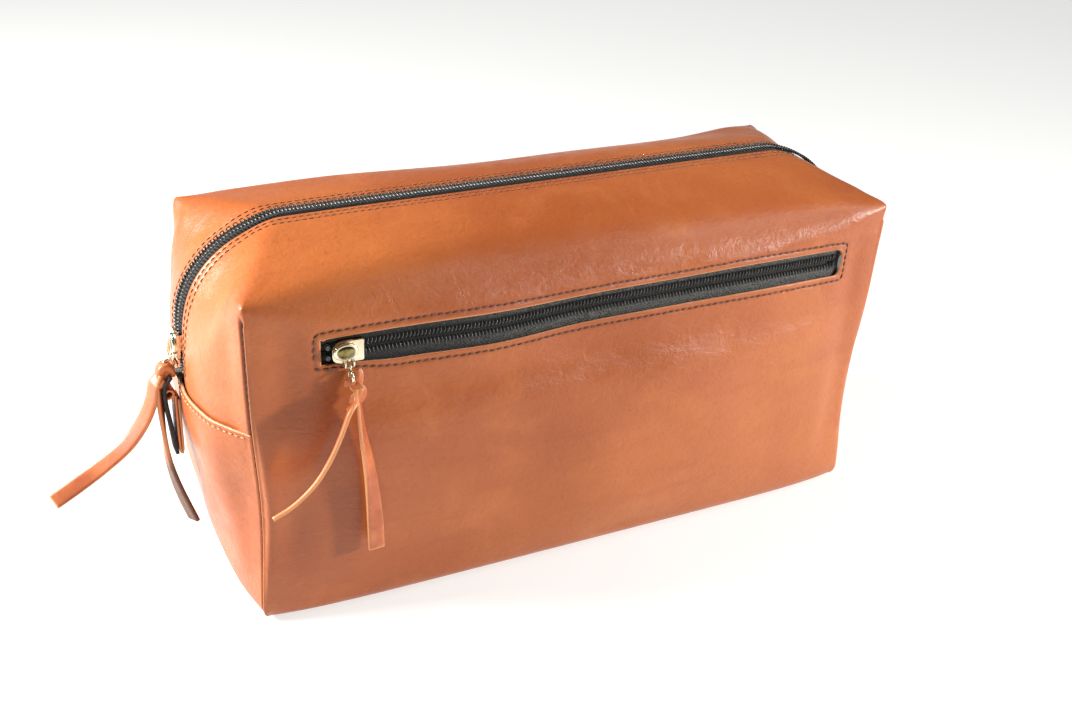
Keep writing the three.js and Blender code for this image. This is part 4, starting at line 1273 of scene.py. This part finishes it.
def end_tab(place, sign):
    """The leather end tab: folded up round the tape, with a rolled top."""
    node = f"end_tab_{place}"
    box_low, box_high = box_corner(node, False), box_corner(node, True)
    inner = box_low[0] if sign > 0 else -box_high[0]
    outer = box_high[0] if sign > 0 else -box_low[0]
    bottom, top = box_low[2], box_high[2]
    middle_y = (box_low[1] + box_high[1]) / 2
    thick = 1.1
    x_in, x_out = inner + thick / 2, inner + thick * 1.55
    roll = (outer - x_out + 0.2) / 2
    path = [(x_in, top - 5), (x_in, top - 14), (x_in, bottom + 4), (x_in + 0.3, bottom + 1.6),
            ((x_in + x_out) / 2, bottom + 0.6), (x_out - 0.3, bottom + 1.6),
            (x_out, bottom + 4), (x_out + 0.1, bottom + 13), (x_out, top - 5.2),
            (x_out + 0.1, top - 3.4)]
    for degrees in (-60, -10, 45, 100, 160, 215, 262):
        a = math.radians(degrees)
        shrink = 1 if degrees < 180 else 0.72
        path.append((x_out + roll + 0.15 + math.cos(a) * roll * shrink * 0.85,
                     top - roll - 0.55 + math.sin(a) * roll * shrink))
    route = curve_through([(sign * x, middle_y, z) for x, z in path], 110)
    widths = 1 + 0.02 * np.sin(np.linspace(0, 14, len(route)))
    points, faces, rim = strap_mesh(route, Y_AXIS, 8.0, thick, widths)
    piece = make_mesh(f"{node}_leather", points, faces, ["lace"], attributes={"rim": rim})
    body = "right_tab" if sign > 0 else "bag"
    settle_piece(piece, body, "leather", node)
    hanging = [(x_out + 1.0, top + 5), (outer - 0.3, top + 1), (outer - 0.1, top - 6),
               (outer - 1.6, bottom + 12), (x_out + 1.2, bottom + 1)]
    route = curve_through([(sign * x, middle_y, z) for x, z in hanging], 50)
    points, faces, _ = strap_mesh(route, Y_AXIS, 8.4, 1.5)
    # The tape strip is darkened evenly all over
    tape = make_mesh(f"{node}_tape", points, faces, ["tape"],
                     attributes={"seam": full(0.7, points[:, 0])})
    settle_piece(tape, body, "tape", f"end_tab_tape_{place}")
    ys = middle_y + np.array([-2.7, -0.9, 0.9, 2.7])
    origin = np.stack([full(sign * (x_out + thick / 2 + 0.1), ys), ys, full(top - 5.6, ys)], 1)
    count = len(ys)
    across = np.tile(Y_AXIS * -sign, (count, 1))
    stitch = bar(3.4, 0.8, 0.7, arch=0.25)
    made, listed = copies(stitch, origin, np.tile(-Z_AXIS, (count, 1)), across,
                          np.tile(X_AXIS * sign, (count, 1)))
    threads = make_mesh(f"{node}_stitches", made, listed, ["pale_thread"])
    return settle_piece(threads, body, "thread")


for place, sign in (("left", -1), ("right", 1)):
    end_tab(place, sign)

SOFT_LOOKS = {"lining": "lining", "tape": "tape", "zip_tail": "tape"}
for node, kept in frame["nodes"].items():
    look = next((value for key, value in SOFT_LOOKS.items() if key in node), None)
    if look and not kept.hide_render:
        kept.data.materials.clear()
        kept.data.materials.append(LOOKS[look])

# ---------------------------------------------------------------- stage


def floor_piece():
    mesh = bpy.data.meshes.new("floor")
    reach = 6.0
    mesh.from_pydata([(-reach, -reach, 0), (reach, -reach, 0), (reach, reach, 0),
                      (-reach, reach, 0)], [], [[0, 1, 2, 3]])
    n = Nodes("white_floor")
    shade = n.noise(3, 2)
    colour = n.mix(shade, rgb(172, 172, 170), rgb(180, 180, 178))
    mesh.materials.append(n.finish(colour, 0.6, Emission_Color=(1, 1, 0.98, 1),
                                   Emission_Strength=0.6))
    made = bpy.data.objects.new("floor", mesh)
    bpy.context.collection.objects.link(made)


def softbox(name, position, target, size, power):
    data = bpy.data.lights.new(name, "AREA")
    data.shape = "RECTANGLE"
    data.size, data.size_y = size
    data.energy = power
    light = bpy.data.objects.new(name, data)
    bpy.context.collection.objects.link(light)
    light.location = position
    toward = Vector(target) - Vector(position)
    light.rotation_euler = toward.to_track_quat("-Z", "Y").to_euler()


floor_piece()
softbox("left_box", (-0.72, 0.24, 0.46), (-0.14, 0, 0.08), (0.4, 0.4), 22.0)
softbox("key_box", (0.62, -0.47, 0.3), (0.0, -0.05, 0.07), (0.08, 0.08), 7.0)
softbox("gloss_box", (0.6, -0.36, 0.74), (0.06, -0.05, 0.12), (0.34, 0.42), 2.4)
world = bpy.data.worlds.new("studio")
bpy.context.scene.world = world
world.use_nodes = True
sky = world.node_tree.nodes["Background"]
sky.inputs["Color"].default_value = (1, 1, 1, 1)
rays = world.node_tree.nodes.new("ShaderNodeLightPath")
level = world.node_tree.nodes.new("ShaderNodeMapRange")
level.inputs["To Min"].default_value = 0.15
level.inputs["To Max"].default_value = 1.0
world.node_tree.links.new(rays.outputs["Is Camera Ray"], level.inputs["Value"])
world.node_tree.links.new(level.outputs["Result"], sky.inputs["Strength"])
bpy.context.scene.view_settings.view_transform = "Standard"
